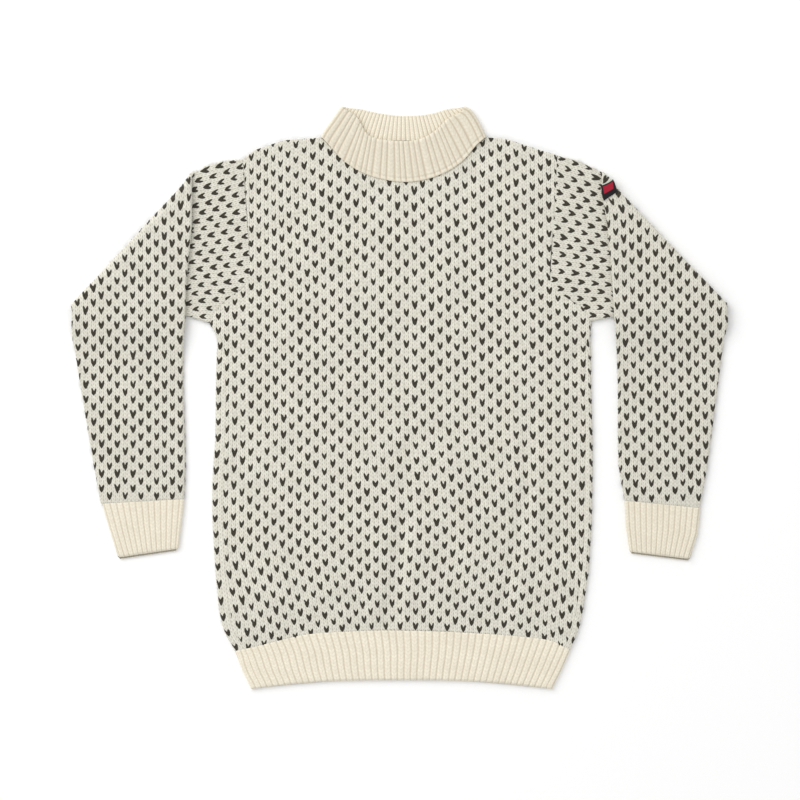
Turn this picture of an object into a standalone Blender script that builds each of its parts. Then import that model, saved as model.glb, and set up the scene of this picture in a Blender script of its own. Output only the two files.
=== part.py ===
"""A wool pullover laid flat on its back, with both sleeves folded forward over themselves.

Seen from above, +X is the viewer's right, +Y points from the hem to the collar and the floor is z = 0.
The wearer's right is at -X. All tables are in millimetres from the middle of the laid-out outline.
"""

import math

import bpy
import numpy as np

COLLECTION = "wool_sweater"
MM = 0.001

# Cloth and layers, in millimetres
WALL = 3.0
LAYER_GAP = 0.8
STACK = 2 * WALL + LAYER_GAP
EDGE_RADIUS = STACK / 2
UPPER = WALL + LAYER_GAP
SEAM_GAP = 0.36
SIDE_GAP = 0.55
RIB_RELIEF = 0.8
PUFF = 2.0
PUFF_REACH = 70.0
CENTRE = (0.25, 1.0)

# Ribs counted on the side that shows
HEM_RIBS = 50
CUFF_RIBS = 13
COLLAR_RIBS = 27

# The fold in each sleeve
CREASE_HEIGHT = STACK + 0.35
BEND_RADIUS = 3.6
BEND_LENGTH = math.pi * BEND_RADIUS
BEND_STEPS = 6
DROP_REACH = 62.0
DROP_START = 4.0

# Angles at which the turned edge of a flattened tube has its points
EDGE_TURNS = (45, 90, 135)

# The collar is a double rib, so its wall is thicker
COLLAR_WALL = 4.8
COLLAR_GAP = 0.8
COLLAR_RADIUS = COLLAR_WALL + COLLAR_GAP / 2
COLLAR_REST = WALL + 0.4
COLLAR_EDGE_ROUND = 1.1
# Shares of the way from the linking line to the fold, and of its width where its ends are drawn in
COLLAR_STEPS = (0.0, 0.35, 0.7, 0.95, 1.0)
COLLAR_END_REACH = 0.15
COLLAR_SINK_REACH = 0.2

# Side outline of the body from the hem up to the underarm:
# height, wearer's right edge, wearer's left edge
BODY_SIDES = (
    (-392, -200, 206),
    (-366, -213, 219),
    (-341, -222, 230),
    (-313, -238, 242),
    (-286, -244, 248),
    (-232, -249, 256),
    (-164, -253, 260),
    (-110, -253, 261),
    (-56, -249, 261),
    (25, -248, 259),
    (62, -247, 259),
    (76, -246, 258),
    (87, -248, 258),
    (95, -252, 258),
)
HEM_HEIGHT = -392
RIB_LINE_HEIGHT = -341
WRAP_END_HEIGHT = 87

# Heights of the panels' rows up to the underarm, and of the hem rib's rows
SIDE_ROWS = (-341, -313, -286, -250, -210, -170, -130, -90, -50, -10, 30, 62, 76, 87, 95)
HEM_ROWS = (RIB_LINE_HEIGHT, -366, -389, HEM_HEIGHT)

# Points across the panels, along each shoulder and along the neckline
FRONT_SHOULDER = 7
FRONT_NECKLINE = 19
FRONT_COLUMNS = 2 * FRONT_SHOULDER + FRONT_NECKLINE - 2
BACK_SHOULDER = 4
BACK_NECKLINE = 9
BACK_COLUMNS = 2 * BACK_SHOULDER + BACK_NECKLINE - 2

# The front thins a little towards the shoulder seams, and the hem towards its edge
SHOULDER_ROUND = 1.2
SHOULDER_RIM = 3.0
HEM_ROUND = 1.3

# The rolled side strips: points round the turn, and how far one stands up where it stops short
ROLL_STEPS = 4
ROLL_LIP = 1.2
FLAT_STRIP = 8.0

# How far the side seams lie in from the outline, on top of the garment: height, right, left
SIDE_SEAMS = (
    (-392, 12, 6),
    (0, 11, 6),
    (62, 8, 4),
    (WRAP_END_HEIGHT, 1.2, 1.2),
)

# Armholes from the underarm to the shoulder tip: x, y
ARMHOLES = {
    "right": (
        (-257, 101),
        (-250, 115),
        (-239, 128),
        (-226, 139),
        (-212, 149),
        (-203, 163),
        (-202, 190),
        (-204, 225),
        (-207, 270),
        (-211, 323),
    ),
    "left": (
        (258, 103),
        (251, 119),
        (238, 129),
        (222, 138),
        (208, 150),
        (203, 166),
        (204, 192),
        (207, 229),
        (210, 274),
        (213, 328),
    ),
}

# Lines across the body: x, y
HEM_EDGE = (
    (-200, -392),
    (-167, -388),
    (-124, -384),
    (-80, -381),
    (1, -380),
    (80, -381),
    (140, -385),
    (206, -392),
)
RIB_LINE = (
    (-222, -341),
    (-183, -333),
    (-149, -325),
    (-114, -318),
    (-55, -314),
    (1, -313),
    (87, -316),
    (190, -325),
    (230, -341),
)
SHOULDER_RIGHT = ((-211, 323), (-195, 335), (-157, 348), (-106, 352))
SHOULDER_LEFT = ((117, 352), (145, 350), (180, 338), (213, 328))
FRONT_NECK = (
    (-106, 352),
    (-97, 343),
    (-78, 323),
    (-60, 310),
    (-41, 301),
    (-14, 294),
    (11, 292),
    (38, 296),
    (64, 306),
    (86, 321),
    (103, 340),
    (117, 352),
)
BACK_NECK = ((-106, 352), (-60, 349), (0, 348), (60, 349), (117, 352))
FRONT_COLLAR_TOP = (
    (-72, 394),
    (-62, 385),
    (-53, 369),
    (-46, 357),
    (-36, 350),
    (-17, 346),
    (3, 345),
    (21, 346),
    (36, 351),
    (50, 360),
    (62, 372),
    (80, 394),
)
BACK_COLLAR_TOP = ((-74, 394), (-37, 385), (1, 380), (40, 382), (72, 391), (84, 394))
COLLAR_FOLD_RIGHT = ((-106, 353), (-101, 362), (-91, 376), (-82, 389), (-78, 394))
COLLAR_FOLD_LEFT = ((117, 353), (113, 362), (106, 376), (97, 389), (89, 394))

# Sleeves, by lines across them: the overarm fold's x, y and the underarm fold's x, y.
# The under rows lie from the armhole to the forward fold, and the over rows from there to the cuff.
SLEEVES = {
    "right": {
        "fold": ((-276, 307), (-441, 130)),
        "under": ((-240, 321, -303, 115), (-262, 314, -371, 121)),
        "crease": ((-265, 309), (-436, 125)),
        "over": (
            (-279, 283, -442, 116),
            (-279, 238, -443, 110),
            (-283, 194, -443, 103),
            (-287, 150, -443, 92),
            (-288, 111, -442, 79),
            (-291, 70, -438, 58),
            (-291, 15, -431, 14),
            (-289, -43, -423, -34),
            (-288, -92, -414, -88),
            (-290, -136, -404, -142),
        ),
        "cuff": ((-290, -136, -401, -142), (-294, -170, -391, -177), (-298, -203, -379, -215)),
    },
    "left": {
        "fold": ((280, 298), (438, 133)),
        "under": ((242, 321, 303, 112), (264, 310, 371, 120)),
        "crease": ((265, 307), (436, 126)),
        "over": (
            (269, 283, 442, 117),
            (275, 262, 443, 112),
            (281, 222, 444, 105),
            (286, 160, 442, 93),
            (289, 110, 438, 79),
            (292, 70, 436, 58),
            (294, 15, 430, 14),
            (294, -43, 424, -34),
            (295, -92, 417, -88),
            (303, -138, 406, -148),
        ),
        "cuff": ((303, -138, 406, -148), (305, -172, 402, -183), (310, -207, 391, -217)),
    },
}
SLEEVE_COLUMNS = 9
ARMHOLE_ROWS = 3

# The point of each folded sleeve stands out a little from the straight fold: how far, and its reach
TIP_BULGE = 4.5
TIP_REACH = 30.0

# The woven label on the wearer's left sleeve, by its corners as it lies: x, y
LABEL_OUTER_EDGE = ((281, 294), (292, 278))
LABEL_INNER_EDGE = ((270, 287), (277, 267))
LABEL_COLUMNS = 15
LABEL_ROWS = 4
LABEL_WALL = 0.8
LABEL_GAP = 0.5

# Main creases in the front: start (x, y), end (x, y), half width, depth
CREASES = (
    (11, -76, 5, -164, 20, 1.2),
    (5, -164, -13, -306, 20, 2.0),
    (-92, -157, -51, -279, 20, 1.4),
    (176, -26, 170, -130, 20, 1.3),
    (170, -130, 138, -288, 20, 1.6),
    (7, 173, 7, 18, 22, 1.0),
    (-160, 40, -128, -5, 18, 0.9),
    (110, 82, 134, 44, 18, 1.0),
)

# Colour and roughness of each material
CREAM_KNIT = ((0.78, 0.755, 0.66), 0.92)
CREAM_RIB = ((0.83, 0.78, 0.66), 0.92)
LABEL_DARK = ((0.03, 0.02, 0.025), 0.7)


def smoothstep(value):
    t = np.clip(value, 0.0, 1.0)
    return t * t * (3.0 - 2.0 * t)


def smooth_path(points, count):
    """Evenly spaced points along a smooth curve through the rows of a table."""
    rows = np.array(points, float)
    first = 2 * rows[0] - rows[1]
    last = 2 * rows[-1] - rows[-2]
    ends = np.vstack([first, rows, last])
    t = np.arange(0, 1, 0.05)[:, None]
    pieces = []
    for a, b, c, d in zip(ends, ends[1:], ends[2:], ends[3:]):
        squared = 2 * a - 5 * b + 4 * c - d
        cubed = 3 * b - a - 3 * c + d
        pieces.append(b + 0.5 * ((c - a) * t + squared * t**2 + cubed * t**3))
    fine = np.vstack([*pieces, rows[-1:]])
    return evenly_spaced(fine, 0.0, count)


def evenly_spaced(path, short, count):
    """Points along a path, all as far apart, that start and stop short of its ends by a distance."""
    along = distances(path)
    places = np.linspace(short, along[-1] - short, count)
    return np.stack([np.interp(places, along, path[:, k]) for k in range(2)], axis=1)


def distances(path):
    """How far along the path each of its points lies."""
    steps = np.linalg.norm(np.diff(path, axis=0), axis=1)
    return np.concatenate([[0], np.cumsum(steps)])


def moved_sideways(path, distance):
    """The path moved by a distance to its left."""
    tangent = np.gradient(path, axis=0)
    tangent /= np.linalg.norm(tangent, axis=1)[:, None]
    return path + distance * np.stack([-tangent[:, 1], tangent[:, 0]], axis=1)


def side_at(height, column):
    """The outline's x at a height, from one column of the body's side table."""
    table = np.array(BODY_SIDES, float)
    return np.interp(height, table[:, 0], table[:, column])


def seam_inset(height, column):
    """How far the side seam lies in from the outline at a height."""
    table = np.array(SIDE_SEAMS, float)
    return np.interp(height, table[:, 0], table[:, column])


def rib_line(start, end, count):
    """The seam between body and hem rib, from one x to another."""
    fine = smooth_path(RIB_LINE, 200)
    x = np.linspace(start, end, count)
    return np.stack([x, np.interp(x, fine[:, 0], fine[:, 1])], axis=1)


def patch(left, right, bottom, top):
    """Rows of points that fill the shape between four edge lines."""
    heights = left[:, 1] + right[:, 1]
    t = (heights - heights[0]) / (heights[-1] - heights[0])
    s = (top[:, 0] - top[0, 0]) / (top[-1, 0] - top[0, 0])
    t, s = t[:, None, None], s[None, :, None]
    sides = (1 - s) * left[:, None] + s * right[:, None]
    ends = (1 - t) * bottom[None] + t * top[None]
    corners = (1 - t) * ((1 - s) * bottom[0] + s * bottom[-1]) + t * ((1 - s) * top[0] + s * top[-1])
    return sides + ends - corners


def material(name, look):
    """A plain material from a colour and a roughness."""
    colour, roughness = look
    made = bpy.data.materials.new(name)
    made.use_nodes = True
    shader = made.node_tree.nodes["Principled BSDF"]
    shader.inputs["Base Color"].default_value = (*colour, 1.0)
    shader.inputs["Roughness"].default_value = roughness
    shader.inputs["Metallic"].default_value = 0.0
    return made


def wall(name, outer, inner, closed, look):
    """A solid between two grids of points with the same rows and columns, closed round if asked."""
    rows, columns = outer.shape[:2]
    points = np.concatenate([outer.reshape(-1, 3), inner.reshape(-1, 3)])
    points = (points - np.array([*CENTRE, 0.0])) * MM
    start = rows * columns
    across = range(columns if closed else columns - 1)
    faces = []
    for i in range(rows - 1):
        for j in across:
            k = (j + 1) % columns
            a = i * columns + j
            b = i * columns + k
            c = b + columns
            d = a + columns
            faces.append((a, b, c, d))
            faces.append((start + d, start + c, start + b, start + a))
    for j in across:
        k = (j + 1) % columns
        last = (rows - 1) * columns
        faces.append((start + j, start + k, k, j))
        faces.append((last + j, last + k, start + last + k, start + last + j))
    if not closed:
        for i in range(rows - 1):
            a, b = i * columns, (i + 1) * columns
            faces.append((a, b, start + b, start + a))
            a, b = a + columns - 1, b + columns - 1
            faces.append((start + a, start + b, b, a))
    corners = points[np.array(faces)]
    volume = 0.0
    for k in (1, 2):
        volume += np.sum(corners[:, 0] * np.cross(corners[:, k], corners[:, k + 1]))
    if volume < 0:
        faces = [tuple(reversed(f)) for f in faces]
    mesh = bpy.data.meshes.new(name)
    mesh.from_pydata(points.tolist(), [], faces)
    mesh.materials.append(material(f"{name}_look", look))
    mesh.shade_smooth()
    mesh.set_sharp_from_angle(angle=math.radians(50))
    made = bpy.data.objects.new(name, mesh)
    bpy.data.collections[COLLECTION].objects.link(made)
    return made


def with_height(plan, height):
    """Points in plan given one height each."""
    return np.concatenate([plan, np.broadcast_to(height, plan.shape[:-1])[..., None]], axis=-1)


def crease_depth(plan):
    """How much the main creases lower the front at each point."""
    depth = np.zeros(plan.shape[:-1])
    for x0, y0, x1, y1, half_width, most in CREASES:
        start = np.array([x0, y0])
        run = np.array([x1 - x0, y1 - y0])
        part = np.clip(((plan - start) @ run) / (run @ run), 0, 1)
        away = np.linalg.norm(plan - start - part[..., None] * run, axis=-1)
        depth = np.maximum(depth, most * (1 - smoothstep(away / half_width)))
    return depth


def puff(plan, edges):
    """The loft of the front over the back: none at the panel's edges, most in its middle."""
    near = np.full(plan.shape[:-1], np.inf)
    for edge in edges:
        away = np.linalg.norm(plan[..., None, :] - edge, axis=-1).min(axis=-1)
        near = np.minimum(near, away)
    rise = PUFF * smoothstep(near / PUFF_REACH)
    return np.maximum(rise - crease_depth(plan), 0.0)


def seam_at(height, column):
    """The x of the front panel's edge at the side seam."""
    inward = 1 if column == 1 else -1
    return side_at(height, column) + inward * (seam_inset(height, column) + EDGE_RADIUS + SIDE_GAP)


def front_edge(side):
    """The front's side line: up the side seam and then the armhole."""
    column, inward = (1, 1) if side == "right" else (2, -1)
    below = [(seam_at(y, column), y) for y in SIDE_ROWS]
    armhole = moved_sideways(np.array(ARMHOLES[side], float), -inward * SEAM_GAP / 2)
    return np.vstack([below, armhole])


def front():
    """The front panel, which lies on the back with some loft."""
    left, right = front_edge("right"), front_edge("left")
    shoulder_right = smooth_path(SHOULDER_RIGHT, FRONT_SHOULDER)
    neck = moved_sideways(smooth_path(FRONT_NECK, FRONT_NECKLINE), -SEAM_GAP / 2)
    shoulder_left = smooth_path(SHOULDER_LEFT, FRONT_SHOULDER)
    top = np.vstack([shoulder_right[:-1], neck, shoulder_left[1:]])
    left[-1], right[-1] = top[0], top[-1]
    bottom = rib_line(left[0, 0], right[0, 0], len(top)) + (0, SEAM_GAP / 2)
    left[0], right[0] = bottom[0], bottom[-1]
    plan = patch(left, right, bottom, top)
    low = UPPER + puff(plan, (left, right, bottom, top))
    last_step = plan[-2] - plan[-1]
    rim = plan[-1] + last_step * (SHOULDER_RIM / np.linalg.norm(last_step, axis=1))[:, None]
    plan = np.concatenate([plan[:-1], rim[None], plan[-1:]])
    low = np.concatenate([low[:-1], np.full((2, low.shape[1]), UPPER)])
    high = low + WALL
    high[-1, :FRONT_SHOULDER] -= SHOULDER_ROUND
    high[-1, -FRONT_SHOULDER:] -= SHOULDER_ROUND
    wall("front", with_height(plan, high), with_height(plan, low), False, CREAM_KNIT)


def rolled_edge(turn, lip):
    """A wall's edge strip rolled up and over: inset and height of its outer and its inner face."""
    angles = np.linspace(0, turn, ROLL_STEPS + 1)
    turned = np.stack([np.sin(angles), np.cos(angles)], axis=1)
    along = np.array([-math.cos(turn), math.sin(turn)])
    faces = []
    for radius in (EDGE_RADIUS, EDGE_RADIUS - WALL):
        round_part = EDGE_RADIUS - radius * turned
        lip_part = [round_part[-1] + along * lip * part for part in (0.5, 1.0)]
        faces.append(np.vstack([round_part, lip_part]))
    return faces


def flat_edge():
    """The same strip laid flat, as it is along the armhole."""
    inset = np.linspace(FLAT_STRIP, 0.0, ROLL_STEPS + 3)
    return [np.stack([inset, np.full(len(inset), height)], axis=1) for height in (0.0, WALL)]


def edge_strip(height, column):
    """The back's side strip at a height: over the front's edge up to the underarm, then upright."""
    if height > WRAP_END_HEIGHT:
        return rolled_edge(math.pi / 2, ROLL_LIP)
    return rolled_edge(math.pi, seam_inset(height, column))


def rolled_row(edge, flat, strip):
    """One row of points of a strip, whose profile runs in from the outline to where it lies flat."""
    share = strip[:, 0] / abs(flat[0] - edge[0])
    return [(*(edge + part * (flat - edge)), z) for part, (_, z) in zip(share, strip)]


def wrapped_panel(name, left, right, bottom, top, strips, look):
    """A lower panel whose side strips roll up round the garment's sides.

    left and right are its outlines, and strips holds each row's strip at the left and at the right.
    """
    inner_left = left + np.array([[strip[0][0][0, 0], 0.0] for strip in strips])
    inner_right = right - np.array([[strip[1][0][0, 0], 0.0] for strip in strips])
    for line, i in ((bottom, 0), (top, -1)):
        inner_left[i, 1] = np.interp(inner_left[i, 0], line[:, 0], line[:, 1])
        inner_right[i, 1] = np.interp(inner_right[i, 0], line[:, 0], line[:, 1])
        line[0], line[-1] = inner_left[i], inner_right[i]
    plan = patch(inner_left, inner_right, bottom, top)
    outer, inner = [], []
    for i, (at_left, at_right) in enumerate(strips):
        for rows, face, height in ((outer, 0, 0.0), (inner, 1, WALL)):
            roll_left = rolled_row(left[i], inner_left[i], at_left[face])[::-1]
            roll_right = rolled_row(right[i], inner_right[i], at_right[face])
            middle = [(x, y, height) for x, y in plan[i, 1:-1]]
            rows.append(roll_left + middle + roll_right)
    wall(name, np.array(outer), np.array(inner), False, look)


def back():
    """The back panel, which lies on the floor and rolls up at the garment's sides."""
    outline = {}
    for side, column, inward in (("right", 1, 1), ("left", 2, -1)):
        below = [(side_at(y, column), y) for y in SIDE_ROWS]
        armhole = moved_sideways(np.array(ARMHOLES[side], float), -inward * SEAM_GAP / 2)
        outline[side] = np.vstack([below, armhole])
    strips = [tuple(edge_strip(y, column) for column in (1, 2)) for y in SIDE_ROWS]
    strips += [(flat_edge(), flat_edge())] * len(ARMHOLES["right"])
    top = np.vstack(
        [
            smooth_path(SHOULDER_RIGHT, BACK_SHOULDER)[:-1],
            moved_sideways(smooth_path(BACK_NECK, BACK_NECKLINE), -SEAM_GAP / 2),
            smooth_path(SHOULDER_LEFT, BACK_SHOULDER)[1:],
        ]
    )
    corners = [side_at(RIB_LINE_HEIGHT, column) for column in (1, 2)]
    bottom = rib_line(*corners, len(top)) + (0, SEAM_GAP / 2)
    wrapped_panel("back", outline["right"], outline["left"], bottom, top, strips, CREAM_KNIT)


def ribbed(count, height):
    """Rib relief for the columns of a wall: a ridge and a furrow in turn."""
    return height + RIB_RELIEF * (np.arange(count) % 2)


def hem_edge(start, end, count):
    """The hem's lower edge, from one x to another."""
    fine = smooth_path(HEM_EDGE, 60)
    x = np.linspace(start, end, count)
    return np.stack([x, np.interp(x, fine[:, 0], fine[:, 1])], axis=1)


def hem_front():
    """The front hem's rib, ribbed on top over a plain inside."""
    columns = 2 * HEM_RIBS + 1
    top_ends = [seam_at(RIB_LINE_HEIGHT, column) for column in (1, 2)]
    low_ends = [seam_at(HEM_HEIGHT, column) for column in (1, 2)]
    above = rib_line(*top_ends, FRONT_COLUMNS)
    top_x = np.linspace(*top_ends, columns)
    top = np.stack([top_x, np.interp(top_x, above[:, 0], above[:, 1]) - SEAM_GAP / 2], axis=1)
    low = hem_edge(*low_ends, columns)
    shares = (HEM_ROWS[0] - np.array(HEM_ROWS)) / (HEM_ROWS[0] - HEM_ROWS[-1])
    plan = top + shares[:, None, None] * (low - top)
    high = np.tile(ribbed(columns, STACK), (len(HEM_ROWS), 1))
    high[-1] -= HEM_ROUND
    wall("hem_rib_front", with_height(plan, high), with_height(plan, UPPER), False, CREAM_RIB)


def hem_back():
    """The back hem's rib, plain because its underside rests on the floor."""
    rows = HEM_ROWS[::-1]
    outlines = [np.array([(side_at(y, column), y) for y in rows], float) for column in (1, 2)]
    strips = [tuple(edge_strip(y, column) for column in (1, 2)) for y in rows]
    corners = [side_at(RIB_LINE_HEIGHT, column) for column in (1, 2)]
    upper = rib_line(*corners, BACK_COLUMNS) - (0, SEAM_GAP / 2)
    lower = hem_edge(outlines[0][0, 0], outlines[1][0, 0], BACK_COLUMNS)
    wrapped_panel("hem_rib_back", *outlines, lower, upper, strips, CREAM_RIB)


class Fold:
    """The line across a sleeve where it turns forward over itself."""

    def __init__(self, outline):
        near, far = (np.array(p, float) for p in outline)
        self.along = (far - near) / np.linalg.norm(far - near)
        inward = np.array([-self.along[1], self.along[0]])
        self.inward = inward if inward @ (np.array([0.0, 0.0]) - near) > 0 else -inward
        self.start = near + self.inward * CREASE_HEIGHT
        self.tip = near

    def unfolded(self, plan):
        """Where a point of the turned part would lie if the sleeve were opened out."""
        depth = (plan - self.start) @ self.inward
        return plan - (2 * depth + BEND_LENGTH)[..., None] * self.inward

    def folded(self, points):
        """Points of the opened sleeve, turned over the fold where they lie past it."""
        plan, height = points[..., :2], points[..., 2]
        past = (self.start - plan) @ self.inward
        line = plan + past[..., None] * self.inward
        radius = CREASE_HEIGHT - height
        angle = np.clip(past / BEND_RADIUS, 0, math.pi)
        out = radius * np.sin(angle) - np.maximum(past - BEND_LENGTH, 0)
        turned = line - out[..., None] * self.inward
        turned_height = CREASE_HEIGHT - radius * np.cos(angle)
        kept = past <= 0
        placed = self.bulged(np.where(kept[..., None], plan, turned))
        return with_height(placed, np.where(kept, height, turned_height))

    def bulged(self, plan):
        """The point of the fold, pushed out a little."""
        away = np.linalg.norm(plan - self.tip, axis=-1)
        push = TIP_BULGE * (1 - smoothstep(away / TIP_REACH))
        return plan - push[..., None] * (self.inward - self.along) * math.sqrt(0.5)


def tube_section(across, shift, overarm, underarm):
    """One closed section of a flattened tube, its outer and its inner loop, opened out flat.

    across holds the shares from the overarm to the underarm edge, and shift a sideways move at each.
    """
    run = underarm - overarm
    length = np.linalg.norm(run)
    run = run / length
    places = EDGE_RADIUS + across * (length - 2 * EDGE_RADIUS)
    plan = overarm + places[:, None] * run + shift
    middle = STACK / 2
    loops = []
    for radius in (EDGE_RADIUS, EDGE_RADIUS - WALL):
        upper = with_height(plan, middle + radius)
        lower = with_height(plan, middle - radius)[::-1]
        turns = []
        for sign, end in ((1, -1), (-1, 0)):
            for angle in EDGE_TURNS:
                away = sign * radius * math.sin(math.radians(angle))
                rise = sign * radius * math.cos(math.radians(angle))
                turns.append([*(plan[end] + away * run), middle + rise])
        loops.append(np.vstack([upper, turns[:3], lower, turns[3:]]))
    return loops


def sleeve_grid(side):
    """The sleeve's outer and inner grids: rows run from the armhole to the cuff."""
    table = SLEEVES[side]
    fold = Fold(table["fold"])
    armhole = np.array(ARMHOLES[side], float)[::-1]
    away = SEAM_GAP / 2 if side == "left" else -SEAM_GAP / 2
    armhole = moved_sideways(armhole, away)
    shares = distances(armhole) / distances(armhole)[-1]
    even = np.linspace(0, 1, SLEEVE_COLUMNS + 1)
    direct = armhole[0] + shares[:, None] * (armhole[-1] - armhole[0])
    swing = armhole - direct

    rows = [(armhole[0], armhole[-1])]
    rows += [(np.array(r[:2], float), np.array(r[2:], float)) for r in table["under"]]
    crease = [np.array(p, float) for p in table["crease"]]
    turned_rows = []
    for r in table["over"]:
        turned_rows.append(tuple(fold.unfolded(np.array(p, float)) for p in (r[:2], r[2:])))
    for step in range(BEND_STEPS + 1):
        rows.append(tuple(bend_point(fold, *ends, step) for ends in zip(crease, turned_rows[0])))
    rows += turned_rows

    under_edge = (np.array(ARMHOLES[side][0], float), np.array(table["crease"][1], float))
    outer, inner = [], []
    fading = len(table["under"]) + BEND_STEPS
    for index, (overarm, underarm) in enumerate(rows):
        fade = 1 - min(index / fading, 1.0)
        across = shares * fade + even * (1 - fade)
        shift = swing * (1 - smoothstep(index / ARMHOLE_ROWS))
        for grid, loop in zip((outer, inner), tube_section(across, shift, overarm, underarm)):
            placed = fold.folded(loop)
            grid.append(laid_down(placed, under_edge) if index > fading else placed)
    return np.array(outer), np.array(inner)


def bend_point(fold, crease, after, step):
    """A point of the opened sleeve on its way round the fold, from the crease to the row after it."""
    on_line = crease - fold.inward * ((crease - fold.start) @ fold.inward)
    reach = (fold.start - after) @ fold.inward
    past = BEND_LENGTH * step / BEND_STEPS
    slide = (after - on_line) @ fold.along * past / reach
    return on_line + fold.along * slide - fold.inward * past


def laid_down(points, under_edge):
    """Points of the turned part, sunk to the floor past the edge of the part below it."""
    start, end = under_edge
    share = np.clip((points[:, 0] - start[0]) / (end[0] - start[0]), 0, 1)
    edge = start[1] + share * (end[1] - start[1])
    passed = (edge - DROP_START - points[:, 1]) / DROP_REACH
    points = points.copy()
    points[:, 2] -= 2 * (CREASE_HEIGHT - EDGE_RADIUS) * smoothstep(passed)
    return points


def cuff_grid(side):
    """The cuff's rib tube, ribbed on the face that shows and plain beneath."""
    columns = 2 * CUFF_RIBS + 1
    outer, inner = [], []
    for index, row in enumerate(SLEEVES[side]["cuff"]):
        overarm, underarm = np.array(row[:2], float), np.array(row[2:], float)
        if index == 0:
            overarm = overarm - (0, SEAM_GAP)
            underarm = underarm - (0, SEAM_GAP)
        loops = tube_section(np.linspace(0, 1, columns), 0.0, overarm, underarm)
        loops[0][:columns, 2] = ribbed(columns, STACK)
        outer.append(loops[0])
        inner.append(loops[1])
    return np.array(outer), np.array(inner)


def sleeves():
    """Both sleeves and their cuffs, each a tube pressed flat."""
    for side in ("right", "left"):
        wall(f"sleeve_{side}", *sleeve_grid(side), True, CREAM_KNIT)
        wall(f"cuff_{side}", *cuff_grid(side), True, CREAM_RIB)


def pulled_to(path, ends):
    """The path shifted at its two ends so that it stops one fold radius short of each end point."""
    path = path.copy()
    share = np.linspace(0, 1, len(path))
    for end, step, near in ((0, 1, share), (-1, -1, 1 - share)):
        heading = path[end + 3 * step] - path[end]
        target = ends[end] + COLLAR_RADIUS * heading / np.linalg.norm(heading)
        path += (target - path[end]) * (1 - smoothstep(near / COLLAR_END_REACH))[:, None]
    return path


def collar():
    """A double rib ring pressed flat: its front half lies over its back half."""
    columns = 2 * COLLAR_RIBS + 1
    share = np.linspace(0, 1, columns)
    front_low, back_low = (
        moved_sideways(evenly_spaced(smooth_path(line, 200), COLLAR_RADIUS, columns), SEAM_GAP / 2)
        for line in (FRONT_NECK, BACK_NECK)
    )
    front_high = smooth_path(FRONT_COLLAR_TOP, columns)
    back_high = smooth_path(BACK_COLLAR_TOP, columns)
    fold_right = smooth_path(COLLAR_FOLD_RIGHT, 21)
    fold_left = smooth_path(COLLAR_FOLD_LEFT, 21)
    middle = np.minimum(share, 1 - share)
    outer, inner = [], []
    for step in COLLAR_STEPS:
        at = round(step * 20)
        ends = (fold_right[at], fold_left[at])
        front_run = pulled_to(front_low + step * (front_high - front_low), ends)
        back_run = pulled_to(back_low + step * (back_high - back_low), ends)
        lift = COLLAR_WALL + COLLAR_GAP - COLLAR_REST
        sink = lift * (1 - step) * smoothstep(middle / COLLAR_SINK_REACH)
        trim = COLLAR_EDGE_ROUND if step == COLLAR_STEPS[-1] else 0.0
        low_front = COLLAR_WALL + COLLAR_GAP - sink + trim
        high_front = ribbed(columns, 2 * COLLAR_WALL + COLLAR_GAP - RIB_RELIEF) - sink - trim
        high_back = ribbed(columns, COLLAR_WALL - RIB_RELIEF) - trim
        for grid, top, bottom, radius in (
            (outer, high_front, np.zeros(columns), COLLAR_RADIUS),
            (inner, low_front, high_back, COLLAR_GAP / 2),
        ):
            turns = []
            for sign, end in ((1, -1), (-1, 0)):
                for angle in EDGE_TURNS:
                    rise = sign * radius * math.cos(math.radians(angle))
                    run = front_run if rise > 0 else back_run
                    part = math.sin(math.radians(angle)) * radius / COLLAR_RADIUS
                    turns.append((*(run[end] + part * (ends[end] - run[end])), COLLAR_RADIUS + rise))
            upper = with_height(front_run, top)
            lower = with_height(back_run, bottom)[::-1]
            grid.append(np.vstack([upper, turns[:3], lower, turns[3:]]))
    wall("collar", np.array(outer), np.array(inner), True, CREAM_RIB)


def label():
    """A small woven label that wraps over the fold of the wearer's left sleeve."""
    fold = Fold(SLEEVES["left"]["fold"])
    outer_edge, inner_edge = (np.array(edge, float) for edge in (LABEL_OUTER_EDGE, LABEL_INNER_EDGE))
    across = np.linspace(0, 1, LABEL_COLUMNS)[None, :, None]
    along = np.linspace(0, 1, LABEL_ROWS)[:, None, None]
    near = outer_edge[0] + across * (inner_edge[0] - outer_edge[0])
    far = outer_edge[1] + across * (inner_edge[1] - outer_edge[1])
    opened = fold.unfolded(near + along * (far - near))
    inner = fold.folded(with_height(opened, -LABEL_GAP))
    outer = fold.folded(with_height(opened, -LABEL_GAP - LABEL_WALL))
    wall("sleeve_label", outer, inner, False, LABEL_DARK)


def main():
    for item in list(bpy.data.objects):
        bpy.data.objects.remove(item, do_unlink=True)
    group = bpy.data.collections.new(COLLECTION)
    bpy.context.scene.collection.children.link(group)
    front()
    back()
    hem_front()
    hem_back()
    sleeves()
    collar()
    label()


main()
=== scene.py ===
"""The looks of a wool pullover laid flat, with both sleeves folded forward over themselves.

Each knitted piece is a sheet of real stitches: a grid of columns and rows in stitch units, laid on the
form of its solid. Tables are in millimetres from the middle of the laid-out outline, with the wearer's
right at -X, the hem at -Y and the floor at z = 0.
"""

import math

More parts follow.
